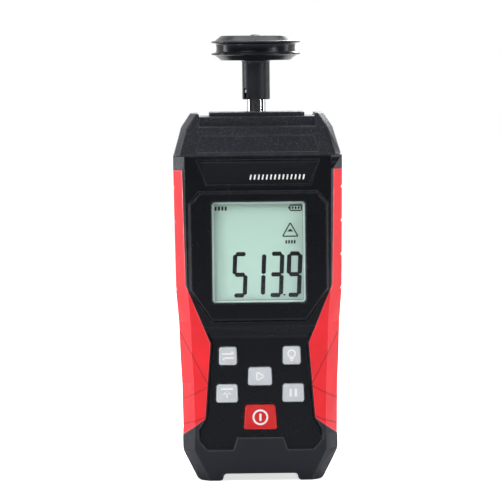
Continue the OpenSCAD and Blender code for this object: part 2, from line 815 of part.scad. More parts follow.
module main_board() color("#1f6b3d") {
    difference() {
        front_prism(box_outline(board_w, board_foot_z, board_top_z), board_back_y, board_front_y);
        front_prism(grown(box_outline(sensor_board_w, sensor_foot_z - board_t, casing_h), post_gap),
            0, -reach / 2);
        for (p = POSTS) rod_y(p, small_screw_d + 4 * boss_pilot, -reach / 2, 0);
        for (b = BOSSES) rod_y(b, boss_d + 2 * boss_gap, -reach / 2, 0);
    }
}

module microcontroller() color("#17181a") {
    translate([0, 0, chip_z_share * casing_h])
        front_prism(box_outline(chip_w, -chip_w / 2, chip_w / 2), board_back_y + chip_t, board_back_y);
}

module crystal() color("silver") {
    translate([crystal_x, 0, crystal_z]) front_prism(rounded(
        box_outline(crystal_len, -crystal_w / 2, crystal_w / 2), crystal_w / 2 - run_gap),
        board_back_y + crystal_h_share * board_space, board_back_y);
}

module capacitors() color("#2b3f66") {
    for (i = [-1:1]) rod_y([i * capacitor_pitch, capacitor_z], capacitor_d,
        board_back_y, board_back_y + capacitor_h_share * board_space);
}

module buzzer() color("#17181a") {
    place = [buzzer_x, buzzer_z_share * casing_h];
    difference() {
        rod_y(place, buzzer_d, board_back_y, board_back_y + buzzer_h);
        rod_y(place, buzzer_d / 6, board_back_y + buzzer_h / 2, 0);
    }
}

// Optics

module sensor_board() color("#1f6b3d") {
    front = board_back_y + sensor_gap;
    translate([-sensor_board_w / 2, front, sensor_foot_z - board_t])
        cube([sensor_board_w, sensor_board_d / 2 - front, board_t]);
}

module sensor_holder() color("#17181a") {
    difference() {
        translate([-sensor_w / 2, -sensor_d / 2, sensor_foot_z]) cube([sensor_w, sensor_d, sensor_h]);
        for (s = [-1, 1]) translate([s * sensor_x, 0, 0]) {
            translate([0, 0, sensor_foot_z - over])
                cylinder(d = diode_d + 2 * run_gap, h = sensor_h + 2 * over);
            translate([0, 0, sensor_top_z - lens_h]) cylinder(d = lens_d + 2 * run_gap, h = lens_h + over);
        }
    }
}

module diode(x) {
    translate([x, 0, sensor_foot_z]) {
        cylinder(d = diode_d, h = diode_h);
        translate([0, 0, diode_h]) sphere(d = diode_d);
    }
}

module light_emitter() color("#d94a4a") diode(-sensor_x);
module light_receiver() color("#2a2a35") diode(sensor_x);

module sensor_lenses() color("#dfe9ef", 0.5) {
    for (s = [-1, 1]) translate([s * sensor_x, 0, sensor_top_z - lens_h]) intersection() {
        cylinder(d = lens_d, h = lens_h);
        translate([0, 0, lens_h - lens_d]) sphere(d = 2 * lens_d);
    }
}

// Batteries

module battery_door() color("#202124") {
    ribs = 4;
    rib_w = door_half_w;
    rib_h = door_t / 2;
    difference() {
        union() {
            front_prism(box_outline(2 * door_half_w, hinge_z, door_top_z), low_rear_y, door_y);
            hinge_bar(barrel_d, door_half_w);
            hinge_bar(stub_d, door_half_w + stub_len);
            for (i = [0:ribs - 1]) translate([0, 0, door_top_z - (2 * i + 4) * rib_h])
                front_prism(box_outline(rib_w, 0, rib_h), low_rear_y + door_rib_t, low_rear_y - door_rib_t);
        }
        front_prism(box_outline(rib_w / 2, door_top_z - door_t, door_top_z + over),
            reach / 2, low_rear_y - door_t / 2);
    }
}

function cell_x(i) = (i - (cell_count - 1) / 2) * (cell_d + cell_gap);

// Turns child pieces of cell i end for end where the cell is the other way up
module cell_place(i) {
    middle = (bay_foot_z + bay_top_z) / 2;
    translate([cell_x(i), cell_y, middle]) rotate([i % 2 == 0 ? 0 : 180, 0, 0])
        translate([0, 0, bay_foot_z - middle]) children();
}

module battery_cells() color("#3f5f9e") {
    button_h = contact_t * 2;
    button_share = 0.38;
    for (i = [0:cell_count - 1]) cell_place(i) translate([0, 0, contact_t + spring_len + run_gap]) {
        cylinder(d = cell_d, h = cell_len - button_h);
        cylinder(d = cell_d * button_share, h = cell_len);
    }
}

module battery_springs() color("silver") {
    turns = 4;
    wire = contact_t;
    top_r = cell_d / 4;
    foot_r = cell_d / 2 - 2 * contact_t;
    steps = [for (k = [0:2 * turns]) [
        foot_r + (top_r - foot_r) * k / (2 * turns) - (k % 2) * wire, spring_len * k / (2 * turns)
    ]];
    for (i = [0:cell_count - 1]) cell_place(i) translate([0, 0, contact_t]) rotate_extrude()
        polygon(concat(steps, [for (k = [2 * turns:-1:0]) steps[k] - [wire, 0]]));
}

module battery_contacts() color("#d9c27a") {
    side = cell_d - 4 * contact_t;
    for (i = [0:cell_count - 1], z = [bay_foot_z, bay_top_z - contact_t])
        translate([cell_x(i) - side / 2, cell_y - side / 2, z]) cube([side, side, contact_t]);
}

module battery_leads() color("#b3242a") {
    for (s = [-1, 1]) rod_y([s * lead_x, bay_top_z - lead_d], lead_d, board_back_y, bay_floor_y - bay_wall);
}

// Spindle

module shaft() color("#d5d8dc") {
    neck_d = bearing_bore - 2 * seat_gap;
    difference() {
        union() {
            translate([0, 0, shaft_foot_z]) cylinder(d = neck_d, h = deck_under_z - shaft_foot_z);
            translate([0, 0, deck_under_z])
                cylinder(d = shaft_d, h = shaft_top_z - shaft_chamfer - deck_under_z);
            translate([0, 0, shaft_top_z - shaft_chamfer])
                cylinder(d1 = shaft_d, d2 = shaft_d - 2 * shaft_chamfer, h = shaft_chamfer);
        }
        translate([0, 0, retaining_z - run_gap])
            ring_z(2 * bearing_bore, bearing_bore - 2 * retaining_groove, retaining_t + 2 * run_gap);
        pin_bar(pin_d + 2 * seat_gap, shaft_d);
    }
}

module pin_bar(d, half_len) {
    translate([0, 0, pin_z]) rotate([0, 0, pin_turn]) rotate([0, 90, 0])
        translate([0, 0, -half_len]) cylinder(d = d, h = 2 * half_len);
}

module drive_pin() color("#b9bdc2") pin_bar(pin_d, hub_d / 2 - 2 * fit_gap);

module bearing_housing() color("#b7babd") {
    length = deck_under_z - lower_bearing_z;
    difference() {
        union() {
            translate([0, 0, lower_bearing_z]) cylinder(d = housing_d, h = length);
            translate([-flange_w / 2, -flange_d / 2, deck_under_z - flange_t])
                cube([flange_w, flange_d, flange_t]);
        }
        translate([0, 0, lower_bearing_z - over])
            cylinder(d = bearing_d - 2 * ring_wall, h = length + 2 * over);
        for (z = [lower_bearing_z - over, upper_bearing_z]) translate([0, 0, z])
            cylinder(d = bearing_d + 2 * seat_gap, h = bearing_t + over);
        plate_screw_holes(deck_under_z - flange_t - over, deck_under_z + over);
    }
}

// A race: the ring less the groove that its balls run in
module race(d_out, d_in) {
    for (z = [lower_bearing_z, upper_bearing_z]) translate([0, 0, z]) difference() {
        ring_z(d_out, d_in, bearing_t);
        translate([0, 0, bearing_t / 2]) rotate_extrude() translate([ball_circle_d / 2, 0])
            circle(d = ball_d + 2 * run_gap);
    }
}

module bearing_outer_rings() color("silver") race(bearing_d, bearing_d - 2 * ring_wall);
module bearing_inner_rings() color("silver") race(bearing_bore + 2 * ring_wall, bearing_bore);

module bearing_balls() color("#e8eaec") {
    for (z = [lower_bearing_z, upper_bearing_z], i = [0:ball_count - 1])
        rotate([0, 0, 360 * i / ball_count]) translate([ball_circle_d / 2, 0, z + bearing_t / 2])
            sphere(d = ball_d);
}

module bearing_spacer() color("#b08d4a") {
    translate([0, 0, lower_bearing_z + bearing_t])
        ring_z(bearing_bore + ring_wall, bearing_bore, shoulder_t);
}

module slotted_disc() color("#2f3236") {
    difference() {
        translate([0, 0, disc_z]) {
            cylinder(d = disc_d, h = disc_t);
            cylinder(d = disc_hub_d, h = disc_t + disc_hub_h);
        }
        translate([0, 0, disc_z - over]) cylinder(d = bearing_bore, h = disc_t + disc_hub_h + 2 * over);
        for (i = [0:disc_slots - 1]) rotate([0, 0, 360 * i / disc_slots])
            translate([sensor_x - disc_slot_len / 2, -disc_slot_w / 2, disc_z - over])
                cube([disc_slot_len, disc_slot_w, disc_t + 2 * over]);
    }
}

module retaining_ring() color("#8d9196") {
    groove_d = bearing_bore - 2 * retaining_groove;
    translate([0, 0, retaining_z]) difference() {
        ring_z(retaining_d, groove_d + 2 * seat_gap, retaining_t);
        translate([-groove_d / 2.4, 0, -over]) cube([groove_d / 1.2, retaining_d, retaining_t + 2 * over]);
    }
}

module shaft_seal() color("#3b3d40") {
    translate([0, 0, deck_under_z + seal_lift])
        ring_z(seal_hole_d - 2 * seat_gap, shaft_d + 2 * run_gap, wall - seal_lift);
}

// Speed wheel

module wheel_hub() color("#17181a") {
    core_d = wheel_core_d - 2 * seat_gap;
    difference() {
        union() {
            translate([0, 0, hub_foot_z]) cylinder(d = hub_d, h = hub_len + wheel_t / 2);
            translate([0, 0, wheel_foot_z]) cylinder(d = core_d, h = wheel_t);
        }
        translate([0, 0, hub_foot_z - over])
            cylinder(d = shaft_d + 2 * run_gap, h = shaft_grip + over + run_gap);
        translate([0, 0, hub_foot_z - over]) rotate([0, 0, pin_turn]) translate([-hub_d, -slit_w / 2, 0])
            cube([2 * hub_d, slit_w, slit_h + over]);
    }
}

module wheel_tyre() color("#1b1b1d") {
    side = drum_d / 2 - lip_root;
    lips = [for (s = lip_shares) s * wheel_t];
    profile = concat(
        [[wheel_core_d / 2, 0], [side, wheel_side]],
        [for (z = lips) each [
            [drum_d / 2, z - lip_tip_t / 2 - lip_root], [wheel_d / 2, z - lip_tip_t / 2],
            [wheel_d / 2, z + lip_tip_t / 2], [drum_d / 2, z + lip_tip_t / 2 + lip_root]
        ]],
        [[side, wheel_t - wheel_side], [wheel_core_d / 2, wheel_t]]
    );
    translate([0, 0, wheel_foot_z]) rotate_extrude() polygon(profile);
}

module wheel_cap() color("#232427") {
    translate([0, 0, wheel_top_z]) cylinder(d1 = wheel_cap_d, d2 = wheel_cap_d / 2, h = wheel_cap_h);
}

// Screws: the head seats at z = 0 and the shank points down

module screw(shank_d, length, head_d, head_h) {
    slot_w = head_h / 3;
    difference() {
        union() {
            translate([0, 0, -length]) cylinder(d = shank_d, h = length);
            cylinder(d = head_d, h = head_h);
        }
        for (turn = [0, 90]) rotate([0, 0, turn])
            translate([-head_d / 3, -slot_w / 2, head_h / 2]) cube([head_d / 1.5, slot_w, head_h]);
    }
}

module case_screws() color("#5a5d62") {
    for (b = BOSSES) translate([b.x, case_seat_y, b.y]) rotate([-90, 0, 0])
        screw(case_screw_d, case_screw_len, case_head_d, case_head_h);
}

module plate_screws() color("#5a5d62") {
    for (s = [-1, 1]) translate([s * plate_screw_x, 0, plate_top_z - small_head_h])
        screw(small_screw_d, plate_t - small_head_h + wall + flange_t, small_head_d, small_head_h);
}

module board_screws() color("#8d9196") {
    for (p = POSTS) translate([p.x, board_back_y, p.y]) rotate([-90, 0, 0])
        screw(small_screw_d, board_screw_len, small_head_d, small_head_h);
}

front_shell();
rear_shell();
head_cap();
spindle_plate();
bottom_bumper();
left_grip();
right_grip();
name_panel();
display_bezel();
display_window();
lcd_glass();
lcd_backlight();
lcd_frame();
contact_strip();
keypad_membrane();
unit_key();
light_key();
test_key();
max_key();
hold_key();
power_key();
main_board();
key_switches();
microcontroller();
crystal();
capacitors();
buzzer();
sensor_board();
sensor_holder();
light_emitter();
light_receiver();
sensor_lenses();
battery_door();
battery_cells();
battery_springs();
battery_contacts();
battery_leads();
shaft();
drive_pin();
bearing_housing();
bearing_outer_rings();
bearing_inner_rings();
bearing_balls();
bearing_spacer();
slotted_disc();
retaining_ring();
shaft_seal();
wheel_hub();
wheel_tyre();
wheel_cap();
case_screws();
plate_screws();
board_screws();
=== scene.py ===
"""Handheld contact tachometer with its speed wheel: the looks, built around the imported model."""

import math

import bmesh
import bpy
from mathutils import Matrix, Vector


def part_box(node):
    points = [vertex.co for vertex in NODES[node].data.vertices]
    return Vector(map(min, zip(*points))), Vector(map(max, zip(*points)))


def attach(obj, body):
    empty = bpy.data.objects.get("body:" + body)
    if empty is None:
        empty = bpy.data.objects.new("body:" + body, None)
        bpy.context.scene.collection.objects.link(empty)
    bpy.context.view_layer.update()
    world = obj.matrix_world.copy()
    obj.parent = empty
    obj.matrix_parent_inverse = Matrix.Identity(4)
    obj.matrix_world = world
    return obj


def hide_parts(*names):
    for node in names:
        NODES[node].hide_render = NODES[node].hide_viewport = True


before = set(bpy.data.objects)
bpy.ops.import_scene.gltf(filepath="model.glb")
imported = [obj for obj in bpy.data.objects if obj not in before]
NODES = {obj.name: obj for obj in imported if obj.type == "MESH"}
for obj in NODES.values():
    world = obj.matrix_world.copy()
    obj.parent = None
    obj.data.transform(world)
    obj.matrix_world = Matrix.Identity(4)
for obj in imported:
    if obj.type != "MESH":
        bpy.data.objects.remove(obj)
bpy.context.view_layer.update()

# Front casing
# Injection moulded front half of the casing, in black plastic with a fine spark eroded texture.
# It keeps the form of the moulding, and its outer edges get the radii of the mould.

MM = 0.001
BLACK = (0.0042, 0.0044, 0.0056, 1)
# Lighter edge colour of the black plastics: partly scuffing, partly a painted highlight that draws
# light lines along the edges.
BLACK_SCUFF_AND_HIGHLIGHT = (0.075, 0.08, 0.092, 1)
CASING_EDGE = 0.3
GRIP_LINE_EDGE = 0.85
SLOPE_EDGE = 0.7
POCKET_EDGE = 0.5
HOLE_EDGE = 0.16
MERGE = 0.02  # mm within which vertices become one
FRONT_Y, KEYPAD_Y = -18.1, -15.9  # just behind the front face and the keypad
GRIP_LINE_X, GRIP_LINE_FOOT, GRIP_LINE_TOP = 17.9, 55, 111.5
POCKET_X, POCKET_FOOT, POCKET_TOP = 22.5, 105, 115
HOLES_X, SLOPE_FOOT, SLOPE_TOP = 17, 51, 56
SHOULDER_X, SHOULDER_Y, SHOULDER_FOOT = 24, -12, 110.5


def point(x, y, z):
    """A point in metres from millimetres."""
    return Vector((x, y, z)) * MM


def pick(*pieces):
    """Leaves only these pieces selected, the first one active, in object mode."""
    if bpy.context.object and bpy.context.object.mode != "OBJECT":
        bpy.ops.object.mode_set(mode="OBJECT")
    bpy.ops.object.select_all(action="DESELECT")
    for piece in pieces:
        piece.select_set(True)
    bpy.context.view_layer.objects.active = pieces[0]


def edit(piece):
    """Opens a piece in edit mode with nothing selected."""
    pick(piece)
    bpy.ops.object.mode_set(mode="EDIT")
    bpy.ops.mesh.select_all(action="DESELECT")


def close():
    bpy.ops.object.mode_set(mode="OBJECT")


def select_faces(piece, wanted):
    """Selects only the faces that wanted(middle in mm, normal) says."""
    bpy.ops.mesh.select_mode(type="FACE")
    bpy.ops.mesh.select_all(action="DESELECT")
    shape = bmesh.from_edit_mesh(piece.data)
    shape.normal_update()
    for face in shape.faces:
        if wanted(face.calc_center_median() / MM, face.normal):
            face.select_set(True)
    bmesh.update_edit_mesh(piece.data)


def select_vertices(piece, wanted):
    """Selects only the vertices that wanted(place in mm) says."""
    bpy.ops.mesh.select_mode(type="VERT")
    bpy.ops.mesh.select_all(action="DESELECT")
    shape = bmesh.from_edit_mesh(piece.data)
    for vertex in shape.verts:
        if wanted(vertex.co / MM):
            vertex.select_set(True)
    shape.select_flush_mode()
    bmesh.update_edit_mesh(piece.data)


def select_edges(piece, wanted, least):
    """Selects edges whose faces meet at over least degrees and whose ends in mm wanted(a, b) says."""
    bpy.ops.mesh.select_mode(type="EDGE")
    bpy.ops.mesh.select_all(action="DESELECT")
    shape = bmesh.from_edit_mesh(piece.data)
    shape.normal_update()
    for edge in shape.edges:
        if edge.is_manifold and math.degrees(edge.calc_face_angle(0)) > least:
            if wanted(edge.verts[0].co / MM, edge.verts[1].co / MM):
                edge.select_set(True)
    bmesh.update_edit_mesh(piece.data)


def leave_crowded(piece, width):
    """Deselects edges that end at a spare edge shorter than the rounding, which would hold it back."""
    shape = bmesh.from_edit_mesh(piece.data)
    crowded = True
    while crowded:
        crowded = [edge for edge in shape.edges if edge.select
                   and any(not near.select and near.calc_length() < width * MM
                           for end in edge.verts for near in end.link_edges)]
        for edge in crowded:
            edge.select_set(False)
    bmesh.update_edit_mesh(piece.data)


def weld(distance=MERGE * MM):
    """Merges the vertices of the piece in edit mode that lie within a distance in metres."""
    bpy.ops.mesh.select_all(action="SELECT")
    bpy.ops.mesh.remove_doubles(threshold=distance)


def round_edges(piece, width, wanted=lambda a, b: True, least=12, steps=3, clamp=True):
    """Rounds the sharp edges of a piece where wanted says, to a width in mm."""
    edit(piece)
    select_edges(piece, wanted, least)
    leave_crowded(piece, width)
    bpy.ops.mesh.bevel(offset_type="OFFSET", offset=width * MM, segments=steps, affect="EDGES",
                       clamp_overlap=clamp)
    weld()
    close()


def smooth(piece, angle=32):
    """Smooth shading over the rounded edges, with the flat faces kept flat."""
    pick(piece)
    bpy.ops.object.shade_smooth_by_angle(angle=math.radians(angle))
    weighted = piece.modifiers.new("flat_faces", "WEIGHTED_NORMAL")
    weighted.keep_sharp = True
    bpy.ops.object.modifier_apply(modifier=weighted.name)


def moulding(node, name):
    """A copy of a CAD moulding, its seams merged and its flat faces cleared of spare edges."""
    piece = bpy.data.objects.new(name, NODES[node].data.copy())
    bpy.context.scene.collection.objects.link(piece)
    piece.data.name = name
    edit(piece)
    weld()
    bpy.ops.mesh.dissolve_limited(angle_limit=math.radians(0.6))
    close()
    return piece


def settle(piece):
    """Puts the place of a new piece in its mesh and leaves its object at the origin."""
    pick(piece)
    bpy.ops.object.transform_apply(location=True, rotation=True, scale=True)
    return piece


def fit(piece, material, body, slot, *nodes):
    """Gives a piece its material, hangs it on the body it rides on and hides the solids it stands for.
    """
    piece.data.materials.clear()
    piece.data.materials.append(material)
    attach(piece, body)
    if nodes:
        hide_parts(*nodes)


def link(tree, *pairs):
    for source, target in pairs:
        tree.links.new(source, target)


def calculate(tree, kind, first, second, clamp=False):
    """A Math node on sockets or numbers; gives its output."""
    node = tree.nodes.new("ShaderNodeMath")
    node.operation = kind
    node.use_clamp = clamp
    for socket, value in zip(node.inputs, (first, second)):
        if isinstance(value, (int, float)):
            socket.default_value = value
        else:
            tree.links.new(value, socket)
    return node.outputs[0]


def object_place(tree):
    return tree.nodes.new("ShaderNodeTexCoord").outputs["Object"]


def noise(tree, scale, detail=2, roughness=0.5, place=None):
    """A Noise Texture on Object coordinates, its scale a number or a socket; gives its value."""
    node = tree.nodes.new("ShaderNodeTexNoise")
    node.inputs["Detail"].default_value = detail
    node.inputs["Roughness"].default_value = roughness
    tree.links.new(place or object_place(tree), node.inputs["Vector"])
    if isinstance(scale, (int, float)):
        node.inputs["Scale"].default_value = scale
    else:
        tree.links.new(scale, node.inputs["Scale"])
    return node.outputs["Fac"]


def shader_group(name, inputs, outputs):
    """A shader node group with named value inputs and outputs, still empty."""
    tree = bpy.data.node_groups.new(name, "ShaderNodeTree")
    for label, value in inputs.items():
        socket = tree.interface.new_socket(label, in_out="INPUT", socket_type="NodeSocketFloat")
        socket.default_value = value
    for label in outputs:
        tree.interface.new_socket(label, in_out="OUTPUT", socket_type="NodeSocketFloat")
    return tree, tree.nodes.new("NodeGroupInput").outputs, tree.nodes.new("NodeGroupOutput").inputs


GLINT_FROM, GLINT_GAIN = 0.58, 9
SCUFF_AND_HIGHLIGHT_GAIN = 9
DUST_FROM = 0.35

# Moulded grain: the fine texture of the mould, a slow change of gloss over it, and a mask of painted
# glints on the grain's peaks
grain, sizes, result = shader_group("moulded_grain", {"Grain Scale": 3200, "Mottle Scale": 90},
                                    ["Height", "Mottle", "Painted Glint"])
fine = noise(grain, sizes["Grain Scale"], detail=3, roughness=0.6)
painted_glint = calculate(grain, "MULTIPLY", calculate(grain, "SUBTRACT", fine, GLINT_FROM),
                  GLINT_GAIN, clamp=True)
link(grain, (fine, result["Height"]), (painted_glint, result["Painted Glint"]),
     (noise(grain, sizes["Mottle Scale"], detail=3, roughness=0.55), result["Mottle"]))

# Edge scuffing and painted highlight: a mask brightest where the surface turns sharply, broken up by
# noise
scuff_and_highlight, sizes, result = shader_group("edge_scuff_and_highlight", {"Radius": 0.0003, "Break Scale": 350}, ["Mask"])
rounded = scuff_and_highlight.nodes.new("ShaderNodeBevel")
rounded.samples = 4
scuff_and_highlight.links.new(sizes["Radius"], rounded.inputs["Radius"])
likeness = scuff_and_highlight.nodes.new("ShaderNodeVectorMath")
likeness.operation = "DOT_PRODUCT"
link(scuff_and_highlight, (rounded.outputs["Normal"], likeness.inputs[0]),
     (scuff_and_highlight.nodes.new("ShaderNodeNewGeometry").outputs["Normal"], likeness.inputs[1]))
turned_away = calculate(scuff_and_highlight, "MULTIPLY",
                        calculate(scuff_and_highlight, "SUBTRACT", 1, likeness.outputs["Value"]), SCUFF_AND_HIGHLIGHT_GAIN,
                        clamp=True)
link(scuff_and_highlight, (calculate(scuff_and_highlight, "MULTIPLY", turned_away, noise(scuff_and_highlight, sizes["Break Scale"])),
            result["Mask"]))

# Settled dust: a thin veil on faces that look up
dust, sizes, result = shader_group("settled_dust", {"Amount": 0.1}, ["Mask"])
facing = dust.nodes.new("ShaderNodeSeparateXYZ")
link(dust, (dust.nodes.new("ShaderNodeNewGeometry").outputs["Normal"], facing.inputs[0]))
upward = calculate(dust, "SUBTRACT", facing.outputs["Z"], DUST_FROM, clamp=True)
veil = calculate(dust, "MULTIPLY", upward, noise(dust, 260, detail=4, roughness=0.65))
link(dust, (calculate(dust, "MULTIPLY", veil, sizes["Amount"]), result["Mask"]))


COOL = (0.8, 0.87, 1, 1)


def surface(name, colour, roughness, metallic=0.0, specular=0.5):
    """A new material with its Principled shader; gives material, node tree and shader."""
    material = bpy.data.materials.new(name)
    material.use_nodes = True
    shader = material.node_tree.nodes["Principled BSDF"]
    shader.inputs["Base Color"].default_value = colour
    shader.inputs["Roughness"].default_value = roughness
    shader.inputs["Metallic"].default_value = metallic
    shader.inputs["Specular IOR Level"].default_value = specular
    shader.inputs["Specular Tint"].default_value = COOL
    return material, material.node_tree, shader


def effect(tree, group, **values):
    """Places a shader group in a material with its own values; gives its outputs."""
    node = tree.nodes.new("ShaderNodeGroup")
    node.node_tree = group
    for label, value in values.items():
        node.inputs[label.replace("_", " ")].default_value = value
    return node.outputs


def blend(tree, mask, first, second):
    """A colour that goes from first to second with the mask; gives its output."""
    node = tree.nodes.new("ShaderNodeMix")
    node.data_type = "RGBA"
    tree.links.new(mask, node.inputs["Factor"])
    for socket, value in ((node.inputs[6], first), (node.inputs[7], second)):
        if isinstance(value, tuple):
            socket.default_value = value
        else:
            tree.links.new(value, socket)
    return node.outputs[2]


def spread(tree, value, low, high):
    """Spreads a value of 0..1 over low..high; gives its output."""
    node = tree.nodes.new("ShaderNodeMapRange")
    node.inputs["To Min"].default_value = low
    node.inputs["To Max"].default_value = high
    tree.links.new(value, node.inputs["Value"])
    return node.outputs["Result"]


def relief(tree, shader, height, strength, depth=0.06):
    """Feeds a height to the shader's normal, its depth in mm."""
    node = tree.nodes.new("ShaderNodeBump")
    node.inputs["Strength"].default_value = strength
    node.inputs["Distance"].default_value = depth * MM
    link(tree, (height, node.inputs["Height"]), (node.outputs["Normal"], shader.inputs["Normal"]))


def shade(colour, factor):
    return tuple(min(1, part * factor) for part in colour[:3]) + (1,)


EDGE_POLISH = 1.1  # how far the lightened edges lose the roughness of the texture
DUST_GREY = (0.3, 0.3, 0.31, 1)


def moulded(name, colour, scuff_highlight_colour, gloss, specular=0.3, grain_scale=3600, strength=0.3,
            dusty=0.25, sparkle=0.0, scuff_highlight_reach=0.6):
    """Moulded plastic or rubber: mottled colour, edges lightened partly as scuffing and partly as
    painted highlight, dust, fine grain and painted glints for its sparkle.
    """
    material, tree, shader = surface(name, colour, sum(gloss) / 2, specular=specular)
    texture = effect(tree, grain, Grain_Scale=grain_scale, Mottle_Scale=85)
    body = blend(tree, texture["Mottle"], shade(colour, 0.85), shade(colour, 1.25))
    # Painted glints: specks on the grain's peaks are lightened to stand in for the sparkle of the
    # texture.
    if sparkle:
        body = blend(tree, calculate(tree, "MULTIPLY", texture["Painted Glint"], sparkle), body,
                     shade(scuff_highlight_colour, 2.5))
    # The edge mask lightens the edges partly as scuffing and partly as a painted highlight standing in
    # for the glints of the rounded edges.
    edge = effect(tree, scuff_and_highlight, Radius=scuff_highlight_reach * MM)["Mask"]
    body = blend(tree, edge, body, scuff_highlight_colour)
    body = blend(tree, effect(tree, dust, Amount=dusty)["Mask"], body, DUST_GREY)
    polish = calculate(tree, "SUBTRACT", 1, calculate(tree, "MULTIPLY", edge, EDGE_POLISH), clamp=True)
    rough = calculate(tree, "MULTIPLY", spread(tree, texture["Mottle"], *gloss), polish)
    link(tree, (body, shader.inputs["Base Color"]), (rough, shader.inputs["Roughness"]))
    relief(tree, shader, texture["Height"], strength)
    return material


casing_black = moulded("casing_black", BLACK, BLACK_SCUFF_AND_HIGHLIGHT, gloss=(0.2, 0.32), specular=0.2,
                       grain_scale=3800, strength=0.16)
front = moulding("front_shell", "front_casing")
round_edges(front, GRIP_LINE_EDGE, lambda a, b: max(a.y, b.y) < FRONT_Y
            and min(abs(a.x), abs(b.x)) > GRIP_LINE_X
            and GRIP_LINE_FOOT < min(a.z, b.z) and max(a.z, b.z) < GRIP_LINE_TOP
            and (max(a.z, b.z) < POCKET_FOOT or min(abs(a.x), abs(b.x)) > POCKET_X),
            least=40, steps=2)
round_edges(front, SLOPE_EDGE, lambda a, b: abs(a.z - b.z) < 0.1
            and SLOPE_FOOT < a.z < SLOPE_TOP and max(a.y, b.y) < KEYPAD_Y
            and abs(a.x - b.x) > 20, least=20, steps=4)
round_edges(front, POCKET_EDGE, lambda a, b: max(a.y, b.y) < FRONT_Y
            and POCKET_FOOT < min(a.z, b.z) and max(a.z, b.z) < POCKET_TOP
            and max(abs(a.x), abs(b.x)) < POCKET_X, least=40, steps=3, clamp=False)
round_edges(front, HOLE_EDGE, lambda a, b: max(a.y, b.y) < KEYPAD_Y
            and max(abs(a.x), abs(b.x)) < HOLES_X and max(a.z, b.z) < SLOPE_FOOT,
            least=40, steps=2)
round_edges(front, CASING_EDGE, lambda a, b: max(a.y, b.y) < SHOULDER_Y
            and max(abs(a.x), abs(b.x)) > SHOULDER_X and min(a.z, b.z) > SHOULDER_FOOT,
            least=20, steps=3, clamp=False)
smooth(front)
fit(front, casing_black, "casing", "black_plastic", "front_shell")

# Rims beside the keypad
# The front casing rises in a slanted rim from the sunk keypad to the edge of each grip. One rim
# is drawn from its section, carried along the edge of the grip, and mirrored for the other side.

RIM_WIDTH = 1.15
RIM_CREST_EDGE, RIM_CREST_Y = 0.2, -17.2
RIM_LINE = [(22.05, 15.3), (22.15, 18.3), (19.55, 22.45), (17.45, 49.3), (19.4, 54.0)]
RIM_SECTION = [(0, -15.6), (0, -17.25), (0.28, -17.32), (RIM_WIDTH, -15.95)]


def draw_rim(name, side):
    bpy.ops.object.select_all(action="DESELECT")
    bpy.ops.mesh.primitive_plane_add(size=MM)
    rim = bpy.context.object
    rim.name = name
    edit(rim)
    x, z = RIM_LINE[0]
    shape = bmesh.from_edit_mesh(rim.data)
    corners = sorted(shape.verts, key=lambda v: math.atan2(v.co.y, v.co.x))
    for corner, (inward, y) in zip(corners, RIM_SECTION):
        corner.co = point(side * (x - inward), y, z)
    bmesh.update_edit_mesh(rim.data)
    bpy.ops.mesh.select_all(action="SELECT")
    for (x, z), (x_next, z_next) in zip(RIM_LINE, RIM_LINE[1:]):
        step = point(side * (x_next - x), 0, z_next - z)
        bpy.ops.mesh.extrude_region_move(TRANSFORM_OT_translate={"value": step})
    bpy.ops.mesh.select_all(action="SELECT")
    bpy.ops.mesh.normals_make_consistent(inside=False)
    close()
    settle(rim)
    round_edges(rim, RIM_CREST_EDGE, lambda a, b: max(a.y, b.y) < RIM_CREST_Y, least=30, steps=3)
    smooth(rim)
    fit(rim, casing_black, "casing", "black_plastic")


draw_rim("keypad_rim_right", 1)
draw_rim("keypad_rim_left", -1)

# Rear casing
# The other half of the casing, in the same plastic. It steps out above the battery door, and
# four screws go through it from the back.

BACK_EDGE, BACK_Y, BACK_STEP_Z = 0.4, 17.4, 70
REAR_SIDE_X, REAR_SIDE_Y = 20, 14.5
rear = moulding("rear_shell", "rear_casing")
round_edges(rear, BACK_EDGE, lambda a, b: min(a.y, b.y) > BACK_Y and abs(a.z - b.z) < 0.1
            and abs(a.x - b.x) > 20 and a.z > BACK_STEP_Z, least=10, steps=4)
round_edges(rear, CASING_EDGE, lambda a, b: min(a.y, b.y) > REAR_SIDE_Y
            and max(abs(a.x), abs(b.x)) > REAR_SIDE_X, least=20, steps=3)
smooth(rear)
fit(rear, casing_black, "casing", "black_plastic", "rear_shell")

# Head cover
# Cover over the shaft bearings, with two horns beside its deck and a shallow panel in front.
# Its texture is coarser than the casing's, and lighter specks painted over it stand in for its
# sparkle.

HEAD_BLACK = (0.0085, 0.009, 0.013, 1)
HORN_EDGE, HORN_X, HORN_FOOT, HORN_TOP = 0.4, 20, 124, 131.5
PANEL_EDGE, PANEL_FOOT, SHORTEST_EDGE = 0.3, 116.6, 1.2
DECK_X, DECK_Y = 17, 8  # inside of these the deck's own edges stay sharp
head_black = moulded("head_black", HEAD_BLACK, shade(BLACK_SCUFF_AND_HIGHLIGHT, 1.3), gloss=(0.36, 0.52),
                     specular=0.4, grain_scale=2300, strength=0.6, dusty=0.4, sparkle=0.35)
head = moulding("head_cap", "head_cover")
round_edges(head, HORN_EDGE, lambda a, b: min(a.z, b.z) > HORN_FOOT
            and max(a.z, b.z) < HORN_TOP and min(abs(a.x), abs(b.x)) > HORN_X, least=15, steps=3)
round_edges(head, PANEL_EDGE, lambda a, b: (a - b).length > SHORTEST_EDGE
            and min(a.z, b.z) > PANEL_FOOT and (max(a.y, b.y) < -DECK_Y
            or min(a.y, b.y) > DECK_Y or min(abs(a.x), abs(b.x)) > DECK_X),
            least=18, steps=3, clamp=False)
smooth(head)
fit(head, head_black, "casing", "black_plastic", "head_cap")

# Spindle plate
# Raised plate on the deck of the head, moulded in the same plastic. Two screws hold it down over
# the flange of the bearing housing.

